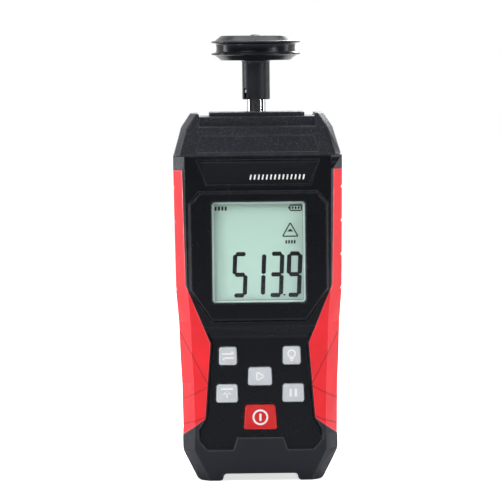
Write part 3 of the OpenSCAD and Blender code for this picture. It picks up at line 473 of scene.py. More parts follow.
PLATE_EDGE = 0.35
PLATE_X, PLATE_Y, PLATE_FOOT = 16.5, 10.2, 131.2
plate = moulding("spindle_plate", "spindle_cover_plate")
round_edges(plate, PLATE_EDGE, lambda a, b: max(a.z, b.z) > PLATE_FOOT
            and (max(abs(a.x), abs(b.x)) > PLATE_X or max(abs(a.y), abs(b.y)) > PLATE_Y),
            least=40, steps=3)
smooth(plate)
fit(plate, head_black, "casing", "black_plastic", "spindle_plate")

# Bumper
# Soft black rubber moulded over the foot of the casing, with two feet and a tab under the power
# key. All its edges are round, most of all the corners of the feet.

BUMPER_BLACK = (0.0105, 0.011, 0.0155, 1)
# Lighter edge colour of the bumper, over a wider edge mask: partly scuffing, partly a painted
# highlight along the recess edges.
BUMPER_SCUFF_AND_HIGHLIGHT = (0.13, 0.138, 0.155, 1)
FEET_EDGE, SIDE_EDGE, FRONT_EDGE, BEHIND_EDGE = 1.6, 1.1, 0.55, 0.4
FEET_TOP, SIDE_TOP, SIDE_X, BUMPER_Y = 3, 15.6, 21.9, 14
RECESS_X, RECESS_Z = (18.5, 22.6), (18.5, 24)  # the recess's upper corners stay sharp
bumper_rubber = moulded("bumper_rubber", BUMPER_BLACK, BUMPER_SCUFF_AND_HIGHLIGHT, gloss=(0.46, 0.6), specular=0.35,
                        grain_scale=2700, strength=0.35, dusty=0.3, scuff_highlight_reach=0.9)
bumper = moulding("bottom_bumper", "foot_bumper")
round_edges(bumper, FEET_EDGE, lambda a, b: max(a.z, b.z) < FEET_TOP
            and abs(a.y - b.y) > 20, least=15, steps=5)
round_edges(bumper, SIDE_EDGE, lambda a, b: max(a.z, b.z) < SIDE_TOP
            and min(abs(a.x), abs(b.x)) > SIDE_X and abs(a.y - b.y) > 20, least=15, steps=5)
round_edges(bumper, FRONT_EDGE, lambda a, b: max(a.y, b.y) < -BUMPER_Y and not any(
            RECESS_X[0] < abs(end.x) < RECESS_X[1] and RECESS_Z[0] < end.z < RECESS_Z[1]
            for end in (a, b)), least=24, steps=4)
round_edges(bumper, BEHIND_EDGE, lambda a, b: min(a.y, b.y) > BUMPER_Y, least=24, steps=3)
smooth(bumper, angle=38)
fit(bumper, bumper_rubber, "casing", "black_rubber", "bottom_bumper")

# Grips
# Red rubber moulded over each side of the casing, with facets that turn round to the side and four
# shallow pinches in the edge. The fine creases over the facets are in the material: a bump, and
# a painted shade of darker red along them.

GRIP_RED = (0.78, 0.012, 0.018, 1)
# Lighter edge colour of the grips: partly scuffing, partly a painted highlight on the edges.
GRIP_SCUFF_AND_HIGHLIGHT = (0.95, 0.16, 0.17, 1)
GRIP_EDGE, GRIP_SHORTEST = 0.4, 1.5
CREASE_LINES = [((27.2, 51.5), (21.8, 41.1)), ((27.6, 29.2), (20.0, 33.1)),
                ((27.6, 20.1), (20.0, 22.8))]
CREASE_WIDTH = 0.4
CREASE_DEPTH = 5  # in heights of the texture
CREASE_SHADE = 0.6
CREASE_SHADE_RED = (0.2, 0.002, 0.004, 1)
grip_rubber = moulded("grip_rubber", GRIP_RED, GRIP_SCUFF_AND_HIGHLIGHT, gloss=(0.42, 0.56),
                      specular=0.45, grain_scale=2500, strength=0.4, dusty=0.06)
grip_shader = grip_rubber.node_tree.nodes["Principled BSDF"]
grip_shader.inputs["Sheen Weight"].default_value = 0.12
grip_shader.inputs["Sheen Roughness"].default_value = 0.4
grip_shader.inputs["Sheen Tint"].default_value = (1, 0.75, 0.8, 1)


def crease_mask(tree):
    """1 on the creases, lines over the facets that are the same on both grips; gives its output."""
    place = tree.nodes.new("ShaderNodeSeparateXYZ")
    link(tree, (object_place(tree), place.inputs[0]))
    outward = calculate(tree, "ABSOLUTE", place.outputs["X"], 0)
    creases = 0.0
    for (x0, z0), (x1, z1) in CREASE_LINES:
        across = Vector((z1 - z0, x0 - x1)).normalized()
        place_across = calculate(tree, "ADD", calculate(tree, "MULTIPLY", outward, across.x),
                                 calculate(tree, "MULTIPLY", place.outputs["Z"], across.y))
        away = calculate(tree, "ABSOLUTE", calculate(
            tree, "SUBTRACT", place_across, (x0 * across.x + z0 * across.y) * MM), 0)
        line = calculate(tree, "SUBTRACT", 1, calculate(tree, "DIVIDE", away, CREASE_WIDTH * MM),
                         clamp=True)
        creases = calculate(tree, "MAXIMUM", line, creases)
    return creases


tree = grip_rubber.node_tree
creases = crease_mask(tree)
body = grip_shader.inputs["Base Color"].links[0].from_socket
# Painted shade: darker red along the creases, where the grooves would lie in shade.
link(tree, (blend(tree, calculate(tree, "MULTIPLY", creases, CREASE_SHADE), body, CREASE_SHADE_RED),
            grip_shader.inputs["Base Color"]))
texture_height = grip_shader.inputs["Normal"].links[0].from_node.inputs["Height"]
link(tree, (calculate(tree, "SUBTRACT", texture_height.links[0].from_socket,
                      calculate(tree, "MULTIPLY", creases, CREASE_DEPTH)), texture_height))

for node, name in (("right_grip", "grip_right"), ("left_grip", "grip_left")):
    grip = moulding(node, name)
    round_edges(grip, GRIP_EDGE, lambda a, b: (a - b).length > GRIP_SHORTEST, least=14, steps=3)
    smooth(grip, angle=28)
    fit(grip, grip_rubber, "casing", "red_rubber", node)

# Name strip
# Glossy black plastic strip pressed into its pocket under the head, a little narrower at its
# foot, with a plain row of slanted marks printed on it in white.

STRIP_BLACK = (0.005, 0.0052, 0.0065, 1)
PRINT_WHITE = (0.86, 0.87, 0.87, 1)
MARK_COUNT, MARK_PITCH, FIRST_MARK = 14, 1.45, -2.6
STRIP_TAPER = 0.862  # width of the foot to that of the top
STRIP_EDGE, STRIP_Y = 0.14, -17.5
STRIP_MARGIN, STRIP_STEP, STRIP_STEP_DEPTH = 0.5, 0.18, 0.09
MARK_FOOT, MARK_TOP, MARK_LEAN, MARK_STROKE, MARK_Y = 107.4, 109.3, 0.2, 0.55, -17.65
bpy.ops.object.select_all(action="DESELECT")
low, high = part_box("name_panel")
bpy.ops.mesh.primitive_cube_add(size=1, location=(low + high) / 2, scale=high - low)
strip = settle(bpy.context.object)
strip.name = "name_strip"
edit(strip)
select_vertices(strip, lambda v: v.z * MM < (low.z + high.z) / 2)
bpy.ops.transform.resize(value=(STRIP_TAPER, 1, 1), center_override=(0, 0, low.z))
select_faces(strip, lambda middle, normal: normal.y < -0.9)
bpy.ops.mesh.inset(thickness=STRIP_MARGIN * MM, depth=0)
bpy.ops.mesh.inset(thickness=STRIP_STEP * MM, depth=-STRIP_STEP_DEPTH * MM)
close()
round_edges(strip, STRIP_EDGE, lambda a, b: max(a.y, b.y) < STRIP_Y, least=40, steps=2)
smooth(strip)
strip_gloss = moulded("name_strip_gloss", STRIP_BLACK, BLACK_SCUFF_AND_HIGHLIGHT, gloss=(0.2, 0.3), specular=0.4,
                      grain_scale=4200, strength=0.1, dusty=0.2)
fit(strip, strip_gloss, "casing", "dark_panel", "name_panel")


def flat_bar(start, end, width, face_y, height=0.06, sides=6):
    """A flat raised bar between two points (x, z) of a face that looks forward; pointed ends."""
    (x0, z0), (x1, z1) = start, end
    along = Vector((x1 - x0, 0, z1 - z0))
    middle = point((x0 + x1) / 2, face_y - height / 2 + 0.01, (z0 + z1) / 2)
    radius = width / 2 / math.cos(math.pi / sides)
    bpy.ops.object.select_all(action="DESELECT")
    bpy.ops.mesh.primitive_cylinder_add(
        vertices=sides, radius=radius * MM, depth=height * MM, location=middle,
        rotation=(math.pi / 2, math.atan2(along.x, along.z), 0))
    bar = settle(bpy.context.object)
    direction = along.normalized()
    reach = (along.length / 2 - radius) * direction * MM
    edit(bar)
    for sign in (1, -1):
        select_vertices(bar, lambda v: sign * (v - middle / MM).dot(direction) > 0.02)
        bpy.ops.transform.translate(value=sign * reach)
    close()
    return bar


def join(name, parts):
    """Joins parts to one piece with one mesh."""
    pick(*parts)
    bpy.ops.object.join()
    piece = bpy.context.object
    piece.name = name
    piece.data.name = name
    return piece


def printed(name, colour, roughness=0.45):
    """Printing ink: slightly uneven colour and a thin, rough layer."""
    material, tree, shader = surface(name, colour, roughness, specular=0.35)
    speck = effect(tree, grain, Grain_Scale=5200, Mottle_Scale=420)
    link(tree, (blend(tree, speck["Mottle"], shade(colour, 0.9), shade(colour, 1.05)),
                shader.inputs["Base Color"]),
         (spread(tree, speck["Height"], roughness - 0.1, roughness + 0.1),
          shader.inputs["Roughness"]))
    relief(tree, shader, speck["Height"], strength=0.2, depth=0.01)
    return material


white_print = printed("white_print", PRINT_WHITE)
marks = []
for count in range(MARK_COUNT):
    x = FIRST_MARK + count * MARK_PITCH
    marks.append(flat_bar((x - MARK_LEAN, MARK_FOOT), (x + MARK_LEAN, MARK_TOP), MARK_STROKE, MARK_Y))
fit(join("name_strip_marks", marks), white_print, "casing", "dark_panel")

# Display surround and window
# Raised eight sided surround in the casing's black, with slanted edges, and the clear plate that
# is glued into it. A pale border is printed round the back of the plate.

SURROUND_EDGE, SURROUND_Y = 0.3, -18.3
WINDOW_EDGE, WINDOW_Y = 0.12, -19.3
surround = moulding("display_bezel", "display_surround")
round_edges(surround, SURROUND_EDGE, lambda a, b: max(a.y, b.y) < SURROUND_Y, least=15, steps=3)
smooth(surround)
fit(surround, casing_black, "casing", "black_plastic", "display_bezel")

WINDOW_IOR = 1.49
clear, tree, shader = surface("window_clear", (0.97, 1, 0.99, 1), roughness=0.03)
shader.inputs["Transmission Weight"].default_value = 1
shader.inputs["IOR"].default_value = WINDOW_IOR
smudge = effect(tree, grain, Grain_Scale=900, Mottle_Scale=55)
rays = tree.nodes.new("ShaderNodeLightPath")
link(tree, (spread(tree, smudge["Mottle"], 0.0, 0.012), shader.inputs["Roughness"]),
     (calculate(tree, "SUBTRACT", 1, rays.outputs["Is Shadow Ray"]), shader.inputs["Alpha"]))
relief(tree, shader, smudge["Mottle"], strength=0.05, depth=0.01)
window = moulding("display_window", "display_window_plate")
round_edges(window, WINDOW_EDGE, lambda a, b: max(a.y, b.y) < WINDOW_Y, least=40, steps=2)
smooth(window)
fit(window, clear, "casing", "clear_window", "display_window")

BORDER_GREEN = (0.6, 0.76, 0.7, 1)
BORDER_WIDTH, BORDER_CORNER, BORDER_MARGIN, BORDER_T = 0.7, 0.9, 0.3, 0.03
low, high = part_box("display_window")
bpy.ops.object.select_all(action="DESELECT")
bpy.ops.mesh.primitive_cube_add(
    size=1, location=((low.x + high.x) / 2, high.y - BORDER_T * MM, (low.z + high.z) / 2),
    scale=(high.x - low.x - BORDER_MARGIN * MM, BORDER_T * MM, high.z - low.z - BORDER_MARGIN * MM))
border = settle(bpy.context.object)
round_edges(border, BORDER_CORNER, lambda a, b: abs(a.y - b.y) > 0.01, least=60, steps=4)
edit(border)
select_faces(border, lambda middle, normal: abs(normal.y) > 0.9)
bpy.ops.mesh.inset(thickness=BORDER_WIDTH * MM, depth=0)
bpy.ops.mesh.bridge_edge_loops()
close()
border.name = "window_border"
fit(border, printed("border_print", BORDER_GREEN, roughness=0.4), "casing", "lcd_green")

# Liquid crystal display
# Pale green glass over its light guide, with a faint painted glow that lifts the shade in the
# window's opening. The segments that are on show a reading, a battery, a plain triangle and rows of
# small marks. They are thin bars just in front of the glass.

LCD_GREEN = (0.46, 0.625, 0.56, 1)
LCD_INK = (0.0015, 0.0016, 0.0016, 1)
DIGIT_W, DIGIT_H, DIGIT_PITCH, DIGIT_FOOT = 3.9, 14.7, 6.42, 66.3
DIGIT_LEAN = 0.045
STROKE = 1.5
FIRST_FIGURE = -5.1
GLASS_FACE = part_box("lcd_glass")[0].y / MM
lcd, tree, shader = surface("lcd_glass_green", LCD_GREEN, roughness=0.25, specular=0.4)
film = effect(tree, grain, Grain_Scale=5000, Mottle_Scale=30)
link(tree, (blend(tree, film["Mottle"], shade(LCD_GREEN, 0.97), shade(LCD_GREEN, 1.04)),
            shader.inputs["Base Color"]),
     (spread(tree, film["Mottle"], 0.22, 0.3), shader.inputs["Roughness"]))
# Painted light: a faint glow in the glass's own colour, lifting it where the opening shades it.
shader.inputs["Emission Color"].default_value = LCD_GREEN
shader.inputs["Emission Strength"].default_value = 0.06
relief(tree, shader, film["Height"], strength=0.05, depth=0.01)
NODES["lcd_glass"].material_slots[0].material = lcd

SEGMENTS = {"5": "afgcd", "1": "bc", "3": "abgcd", "9": "abcdfg"}


def lean(x, z):
    return x + (z - DIGIT_FOOT) * DIGIT_LEAN, z


def digit(figure, right):
    """The lit segments of one figure, whose right strokes stand at right in mm."""
    left, top, middle = right - DIGIT_W, DIGIT_FOOT + DIGIT_H, DIGIT_FOOT + DIGIT_H / 2
    gap = 0.12
    lines = {
        "a": ((left + gap, top), (right - gap, top)),
        "b": ((right, middle + gap), (right, top - gap)),
        "c": ((right, DIGIT_FOOT + gap), (right, middle - gap)),
        "d": ((left + gap, DIGIT_FOOT), (right - gap, DIGIT_FOOT)),
        "f": ((left, middle + gap), (left, top - gap)),
        "g": ((left + gap, middle), (right - gap, middle)),
    }
    return [flat_bar(lean(*lines[s][0]), lean(*lines[s][1]), STROKE, GLASS_FACE)
            for s in SEGMENTS[figure]]


ink = []
for place, figure in enumerate("5139"):
    ink += digit(figure, FIRST_FIGURE + place * DIGIT_PITCH)
TOP_ICONS = 97.3
ICON_STROKE, CELL_STROKE, MODE_STROKE, UNIT_STROKE = 0.44, 0.6, 0.72, 0.62
icon_low, icon_high = TOP_ICONS - 0.95, TOP_ICONS + 0.95
BATTERY = [((11.3, icon_high), (15.3, icon_high)), ((11.3, icon_low), (15.3, icon_low)),
           ((15.35, icon_low + 0.05), (15.35, icon_high - 0.05)),
           ((11.25, icon_low + 0.05), (11.25, icon_high - 0.05))]
TRIANGLE = [((8.6, 87.2), (14.0, 87.2)), ((8.6, 87.2), (11.3, 92.0)), ((14.0, 87.2), (11.3, 92.0))]
CELL_BARS, MODE_MARKS = (12.2, 13.3, 14.4), (-15.2, -14.0, -12.8, -11.6)
UNIT_MARKS, UNIT_FOOT, UNIT_TOP = (9.8, 10.8, 11.8, 12.8), 84.5, 85.9
POINT_STROKE, TIP_STROKE, ALERT_STROKE = 0.75, 0.4, 1.3
ink.append(flat_bar((9.0, 66.0), (9.05, 66.75), POINT_STROKE, GLASS_FACE, sides=4))
for line in BATTERY + TRIANGLE:
    ink.append(flat_bar(*line, ICON_STROKE, GLASS_FACE))
for x in CELL_BARS:
    ink.append(flat_bar((x, TOP_ICONS - 0.6), (x, TOP_ICONS + 0.6), CELL_STROKE, GLASS_FACE,
                        sides=4))
ink.append(flat_bar((10.8, TOP_ICONS - 0.45), (10.8, TOP_ICONS + 0.45), TIP_STROKE, GLASS_FACE,
                    sides=4))
ink.append(flat_bar((11.3, 88.2), (11.3, 89.9), ALERT_STROKE, GLASS_FACE, sides=3))
for x in MODE_MARKS:
    ink.append(flat_bar((x, TOP_ICONS - 0.85), (x + 0.1, TOP_ICONS + 0.75), MODE_STROKE,
                        GLASS_FACE))
for x in UNIT_MARKS:
    ink.append(flat_bar((x, UNIT_FOOT), (x + 0.1, UNIT_TOP), UNIT_STROKE, GLASS_FACE))
lcd_ink, tree, shader = surface("lcd_ink", LCD_INK, roughness=0.35, specular=0.0)
film = effect(tree, grain, Grain_Scale=4000, Mottle_Scale=200)
link(tree, (blend(tree, film["Mottle"], LCD_INK, shade(LCD_INK, 1.5)), shader.inputs["Base Color"]),
     (spread(tree, film["Height"], 0.3, 0.42), shader.inputs["Roughness"]))
fit(join("lcd_segments", ink), lcd_ink, "casing", "lcd_green")

# Keys
# Silicone keys with hard painted faces: five grey, one red. Each stands on its flange behind the
# casing, narrows a little upward, and has a raised rim round a dished face with a printed sign.

KEY_GREY = (0.52, 0.555, 0.585, 1)
# Lighter rim colours of the keys: partly scuffing, partly a painted highlight on the rims.
KEY_RIM_SCUFF_AND_HIGHLIGHT = (0.62, 0.65, 0.67, 1)
KEY_RED = (0.58, 0.012, 0.01, 1)
KEY_RED_SCUFF_AND_HIGHLIGHT = (0.9, 0.2, 0.2, 1)
KEY_FACE_Y, KEY_BACK_Y = -17.2, -12.25
FLANGE, FLANGE_T, CORNER, RIM_ROUND = 0.87, 0.8, 0.9, 0.38
GREY_NARROWING, POWER_NARROWING = 0.95, 0.885
KEY_SCUFF_HIGHLIGHT_REACH = 0.3
DISH_MARGIN, DISH_WALL, DISH_DEPTH, DISH_MIDDLE = 0.2, 0.25, 0.12, 0.06
key_grey = moulded("key_grey", KEY_GREY, KEY_RIM_SCUFF_AND_HIGHLIGHT, gloss=(0.36, 0.46), specular=0.45, grain_scale=4200,
                   strength=0.12, dusty=0.1, scuff_highlight_reach=KEY_SCUFF_HIGHLIGHT_REACH)
key_red = moulded("key_red", KEY_RED, KEY_RED_SCUFF_AND_HIGHLIGHT, gloss=(0.34, 0.44), specular=0.45,
                  grain_scale=4200, strength=0.12, dusty=0.08, scuff_highlight_reach=KEY_SCUFF_HIGHLIGHT_REACH)


def key(name, node, body, slot, material, centre, width, height, narrowing):
    """One key: body, round corners, flange grown from its back, round rim and dished face."""
    x, z = centre
    flange_y = KEY_BACK_Y - FLANGE_T
    bpy.ops.object.select_all(action="DESELECT")
    bpy.ops.mesh.primitive_cube_add(size=1, location=point(x, (KEY_FACE_Y + flange_y) / 2, z),
                                    scale=point(width, flange_y - KEY_FACE_Y, height))
    cap = settle(bpy.context.object)
    cap.name = name
    edit(cap)
    select_vertices(cap, lambda v: v.z > z)
    bpy.ops.transform.resize(value=(narrowing, 1, 1), center_override=point(x, 0, z))
    close()
    round_edges(cap, CORNER, lambda a, b: abs(a.y - b.y) > 3, least=40, steps=5)
    edit(cap)
    select_faces(cap, lambda middle, normal: normal.y > 0.9)
    bpy.ops.mesh.extrude_region_move()
    bpy.ops.transform.resize(value=(1 + 2 * FLANGE / width, 1, 1 + 2 * FLANGE / height),
                             center_override=point(x, 0, z))
    bpy.ops.mesh.extrude_region_move(TRANSFORM_OT_translate={"value": point(0, FLANGE_T, 0)})
    close()
    round_edges(cap, RIM_ROUND, lambda a, b: max(a.y, b.y) < KEY_FACE_Y + 0.02, least=40, steps=3)
    edit(cap)
    select_faces(cap, lambda middle, normal: normal.y < -0.99 and middle.y < KEY_FACE_Y + 0.02)
    bpy.ops.mesh.inset(thickness=DISH_MARGIN * MM, depth=0)
    bpy.ops.mesh.inset(thickness=DISH_WALL * MM, depth=-DISH_DEPTH * MM)
    bpy.ops.mesh.poke(offset=-DISH_MIDDLE * MM)
    close()
    smooth(cap, angle=40)
    fit(cap, material, body, slot, node)


GREY_KEYS = [  # name, node, body, centre, width, height
    ("key_upper_left", "unit_key", "unit_button", (-11.35, 44.76), 6.5, 6.5),
    ("key_upper_right", "light_key", "light_button", (11.35, 44.76), 6.5, 6.5),
    ("key_middle", "test_key", "test_button", (0, 37.40), 8.6, 6.5),
    ("key_lower_left", "max_key", "max_button", (-11.80, 31.39), 7.8, 6.5),
    ("key_lower_right", "hold_key", "hold_button", (11.80, 31.39), 7.8, 6.5),
]
for name, node, body, centre, width, height in GREY_KEYS:
    key(name, node, body, "grey_key", key_grey, centre, width, height, GREY_NARROWING)
key("key_power", "power_key", "power_button", "red_key", key_red, (0, 22.85), width=12, height=8.9,
    narrowing=POWER_NARROWING)

SIGN_Y = KEY_FACE_Y + 0.16
SIGN_STROKE, POWER_STROKE = 0.55, 0.8
STROKES = {"hold_button": 0.95, "test_button": 0.6}


def ring(x, z, outer, inner, height=0.06):
    """A flat raised ring on a face that looks forward."""
    bpy.ops.object.select_all(action="DESELECT")
    bpy.ops.mesh.primitive_cylinder_add(vertices=40, radius=outer * MM, depth=height * MM,
                                        location=point(x, SIGN_Y - height / 2 + 0.01, z),
                                        rotation=(math.pi / 2, 0, 0))
    circle = settle(bpy.context.object)
    edit(circle)
    select_faces(circle, lambda middle, normal: abs(normal.y) > 0.9)
    bpy.ops.mesh.inset(thickness=(outer - inner) * MM, depth=0)
    bpy.ops.mesh.bridge_edge_loops()
    close()
    return circle


SIGNS = {
    "unit_button": [((-2.1, 0.75), (2.1, 0.75)), ((2.1, 0.75), (1.2, 1.6)),
                    ((-2.1, -0.75), (2.1, -0.75)), ((-2.1, -0.75), (-1.2, -1.6))],
    "test_button": [((-1.1, 1.5), (-1.1, -1.5)), ((-1.1, 1.5), (1.6, 0)), ((1.6, 0), (-1.1, -1.5))],
    "max_button": [((-2.2, 1.55), (2.2, 1.55)), ((0, 0.8), (0, -1.7)), ((0, 0.8), (-1.3, -0.4)),
                   ((0, 0.8), (1.3, -0.4))],
    "hold_button": [((-0.9, 1.5), (-0.9, -1.5)), ((0.9, 1.5), (0.9, -1.5))],
    "light_button": [((-0.8, -1.15), (0.8, -1.15)), ((-0.5, -1.8), (0.5, -1.8))],
}
for name, node, body, (x, z), width, height in GREY_KEYS:
    stroke = STROKES.get(body, SIGN_STROKE)
    lines = [flat_bar((x + a[0], z + a[1]), (x + b[0], z + b[1]), stroke, SIGN_Y)
             for a, b in SIGNS[body]]
    if body == "light_button":
        lines.append(ring(x, z + 0.6, outer=1.55, inner=1.0))
    fit(join(name + "_sign", lines), white_print, body, "grey_key")
power_sign = [ring(0, 22.75, outer=2.8, inner=2.15),
              flat_bar((0, 21.35), (0, 24.15), POWER_STROKE, SIGN_Y)]
fit(join("key_power_sign", power_sign), white_print, "power_button", "red_key")

# Electronics
# Board, display frame, sensors and what is soldered to them. The solids have their real form and
# stay; each finish shows what the part is made of.


def use_finish(material, *nodes):
    for node in nodes:
        NODES[node].material_slots[0].material = material


board_green, tree, shader = surface("board_green", (0.02, 0.13, 0.045, 1), roughness=0.35)
wander = tree.nodes.new("ShaderNodeTexBrick")
wander.offset = 0.35
wander.inputs["Scale"].default_value = 260
wander.inputs["Mortar Size"].default_value = 0.012
wander.inputs["Color1"].default_value = (0.016, 0.11, 0.04, 1)
wander.inputs["Color2"].default_value = (0.022, 0.15, 0.05, 1)
wander.inputs["Mortar"].default_value = (0.04, 0.24, 0.09, 1)
turn = tree.nodes.new("ShaderNodeMapping")
turn.inputs["Rotation"].default_value = (math.radians(90), 0, 0)
link(tree, (object_place(tree), turn.inputs["Vector"]),
     (turn.outputs["Vector"], wander.inputs["Vector"]),
     (wander.outputs["Color"], shader.inputs["Base Color"]),
     (spread(tree, noise(tree, 500), 0.3, 0.45), shader.inputs["Roughness"]))
relief(tree, shader, wander.outputs["Fac"], strength=0.3, depth=0.03)
use_finish(board_green, "main_board", "sensor_board")

INNER_FINISHES = [  # name, colour, edge colour of scuffing and painted highlight, gloss, specular, grain scale, relief, nodes
    ("component_black", (0.015, 0.015, 0.016, 1), (0.06, 0.06, 0.06, 1), (0.4, 0.55), 0.4, 5000, 0.2,
     ["microcontroller", "buzzer", "key_switches", "lcd_frame", "sensor_holder", "light_receiver",
      "slotted_disc"]),
    ("silicone_grey", (0.06, 0.062, 0.066, 1), (0.12, 0.12, 0.125, 1), (0.5, 0.62), 0.3, 2600, 0.2,
     ["keypad_membrane", "contact_strip", "shaft_seal"]),
    ("sleeve_blue", (0.03, 0.06, 0.16, 1), (0.2, 0.25, 0.35, 1), (0.25, 0.35), 0.5, 4000, 0.1,
     ["capacitors"]),
    ("wire_red", (0.45, 0.02, 0.025, 1), (0.6, 0.2, 0.2, 1), (0.35, 0.45), 0.4, 4000, 0.1,
     ["battery_leads"]),
    ("guide_white", (0.8, 0.84, 0.82, 1), (0.9, 0.92, 0.9, 1), (0.3, 0.4), 0.4, 3000, 0.1,
     ["lcd_backlight"]),
]
for name, colour, scuff_highlight_colour, gloss, specular, grain_scale, strength, nodes in INNER_FINISHES:
    finish = moulded(name, colour, scuff_highlight_colour, gloss, specular, grain_scale, strength, dusty=0.0)
    use_finish(finish, *nodes)


def metal(name, colour, gloss, marks_scale, strength, stretch):
    """Turned or drawn metal: fine marks along one way, in colour, gloss and relief."""
    material, tree, shader = surface(name, colour, sum(gloss) / 2, metallic=1.0)
    squeeze = tree.nodes.new("ShaderNodeMapping")
    squeeze.inputs["Scale"].default_value = stretch
    tree.links.new(object_place(tree), squeeze.inputs["Vector"])
    lines = noise(tree, marks_scale, detail=3, roughness=0.6, place=squeeze.outputs["Vector"])
    link(tree, (spread(tree, lines, *gloss), shader.inputs["Roughness"]),
         (blend(tree, lines, shade(colour, 0.86), shade(colour, 1.1)), shader.inputs["Base Color"]))
    relief(tree, shader, lines, strength, depth=0.01)
    return material


METALS = [  # name, colour, gloss, scale of the marks, relief, stretch, nodes
    ("steel", (0.5, 0.5, 0.51, 1), (0.22, 0.36), 900, 0.15, (1, 1, 4),
     ["crystal", "battery_springs", "retaining_ring", "board_screws"]),
    ("dark_steel", (0.16, 0.16, 0.17, 1), (0.3, 0.42), 900, 0.15, (1, 4, 1),
     ["case_screws", "plate_screws", "drive_pin"]),
    ("brass", (0.62, 0.44, 0.2, 1), (0.22, 0.38), 900, 0.15, (1, 1, 3),
     ["battery_contacts", "bearing_spacer"]),
    ("housing_aluminium", (0.62, 0.63, 0.64, 1), (0.28, 0.42), 700, 0.2, (1, 1, 6),
     ["bearing_housing"]),
    ("ball_steel", (0.62, 0.62, 0.63, 1), (0.08, 0.16), 1200, 0.03, (1, 1, 3),
     ["bearing_balls", "bearing_inner_rings", "bearing_outer_rings"]),
]
for name, colour, gloss, marks_scale, strength, stretch, nodes in METALS:
    use_finish(metal(name, colour, gloss, marks_scale, strength, stretch), *nodes)

lens, tree, shader = surface("lens_clear", (0.92, 0.96, 0.98, 1), roughness=0.04)
shader.inputs["Transmission Weight"].default_value = 1
link(tree, (spread(tree, noise(tree, 800), 0.02, 0.08), shader.inputs["Roughness"]))
use_finish(lens, "sensor_lenses", "light_emitter")

# Battery door and cells
# Snap-on door in the casing's plastic, with ribs for the thumb and round stubs that it turns on.
# Behind it lie three AAA cells in printed sleeves.

DOOR_EDGE, DOOR_X, DOOR_Y = 0.4, 17, 17.4
RIB_EDGE, RIB_Y = 0.14, 17.7
door = moulding("battery_door", "battery_cover")
round_edges(door, DOOR_EDGE, lambda a, b: min(a.y, b.y) > DOOR_Y
            and max(abs(a.x), abs(b.x)) > DOOR_X, least=30, steps=3)
round_edges(door, RIB_EDGE, lambda a, b: min(a.y, b.y) > RIB_Y, least=30, steps=2)
smooth(door)
fit(door, casing_black, "door", "black_plastic", "battery_door")

BAND_FOOT = 54.5
CELL_BLUE, CELL_BLUE_LIGHT = (0.04, 0.1, 0.27, 1), (0.06, 0.14, 0.34, 1)
CELL_COPPER = (0.6, 0.42, 0.16, 1)
sleeve, tree, shader = surface("cell_sleeve", (0.05, 0.12, 0.3, 1), roughness=0.25)
height = tree.nodes.new("ShaderNodeSeparateXYZ")
tree.links.new(object_place(tree), height.inputs[0])
band = calculate(tree, "GREATER_THAN", height.outputs["Z"], BAND_FOOT * MM)
scuffed = effect(tree, grain, Grain_Scale=3000, Mottle_Scale=240)
printed_sleeve = blend(tree, scuffed["Mottle"], CELL_BLUE, CELL_BLUE_LIGHT)
link(tree, (blend(tree, band, printed_sleeve, CELL_COPPER), shader.inputs["Base Color"]),
     (spread(tree, scuffed["Height"], 0.2, 0.34), shader.inputs["Roughness"]))
relief(tree, shader, scuffed["Height"], strength=0.1, depth=0.02)
use_finish(sleeve, "battery_cells")

# Shaft
# Ground and polished steel shaft, bare between the spindle plate and the hub. It runs in the two
# bearings of the head, and its solid stays as it is.

use_finish(metal("shaft_polished", (0.78, 0.78, 0.8, 1), gloss=(0.04, 0.09), marks_scale=1500,
                 strength=0.02, stretch=(1, 1, 8)), "shaft")

# Speed wheel
# Hard hub pushed on the shaft, with a slit for its cross pin, a glossy rubber tyre with two thin
# lips turned round it, and a small round cap on top. It is pulled off upward as one.

WHEEL_BLACK = (0.006, 0.0062, 0.0074, 1)
HUB_CORE, DRUM, LIP = 11.95, 14.2, 15.88
WHEEL_FOOT, WHEEL_T = 149.7, 8.9
LIP_T, LIP_ROOT, SIDE_DROP = 0.45, 0.4, 1.2
TYRE_EDGE, HUB_EDGE, HUB_NECK_EDGE = 0.2, 0.35, 0.8
HUB_END, HUB_NECK_R = 135.8, 6
HUB_BLACK = (0.008, 0.008, 0.0095, 1)
wheel_rubber = moulded("wheel_rubber", WHEEL_BLACK, shade(WHEEL_BLACK, 3), gloss=(0.2, 0.3),
                       specular=0.3, grain_scale=3000, strength=0.12, dusty=0.3)
hub_plastic = moulded("hub_plastic", HUB_BLACK, BLACK_SCUFF_AND_HIGHLIGHT, gloss=(0.32, 0.44), specular=0.4,
                      grain_scale=3000, strength=0.2, dusty=0.2)


def turned(name, profile, steps=96):
    """Turns a closed profile of (radius, height) points in mm round the Z axis."""
    bpy.ops.object.select_all(action="DESELECT")
    bpy.ops.mesh.primitive_plane_add(size=MM)
    piece = bpy.context.object
    piece.name = name
    edit(piece)
    bpy.ops.mesh.select_all(action="SELECT")
    bpy.ops.mesh.merge(type="CENTER")
    bpy.ops.mesh.select_mode(type="VERT")
    bpy.ops.mesh.select_all(action="SELECT")
    bpy.ops.transform.translate(value=point(profile[0][0], 0, profile[0][1]))
    closed = profile + profile[:1]
    for (r, z), (r_next, z_next) in zip(closed, closed[1:]):
        bpy.ops.mesh.extrude_vertices_move(
            TRANSFORM_OT_translate={"value": point(r_next - r, 0, z_next - z)})
    weld(1e-6)
    bpy.ops.mesh.spin(steps=steps, angle=2 * math.pi, center=(0, 0, 0), axis=(0, 0, 1))
    weld(2e-6)
    bpy.ops.mesh.normals_make_consistent(inside=False)
    close()
    return piece


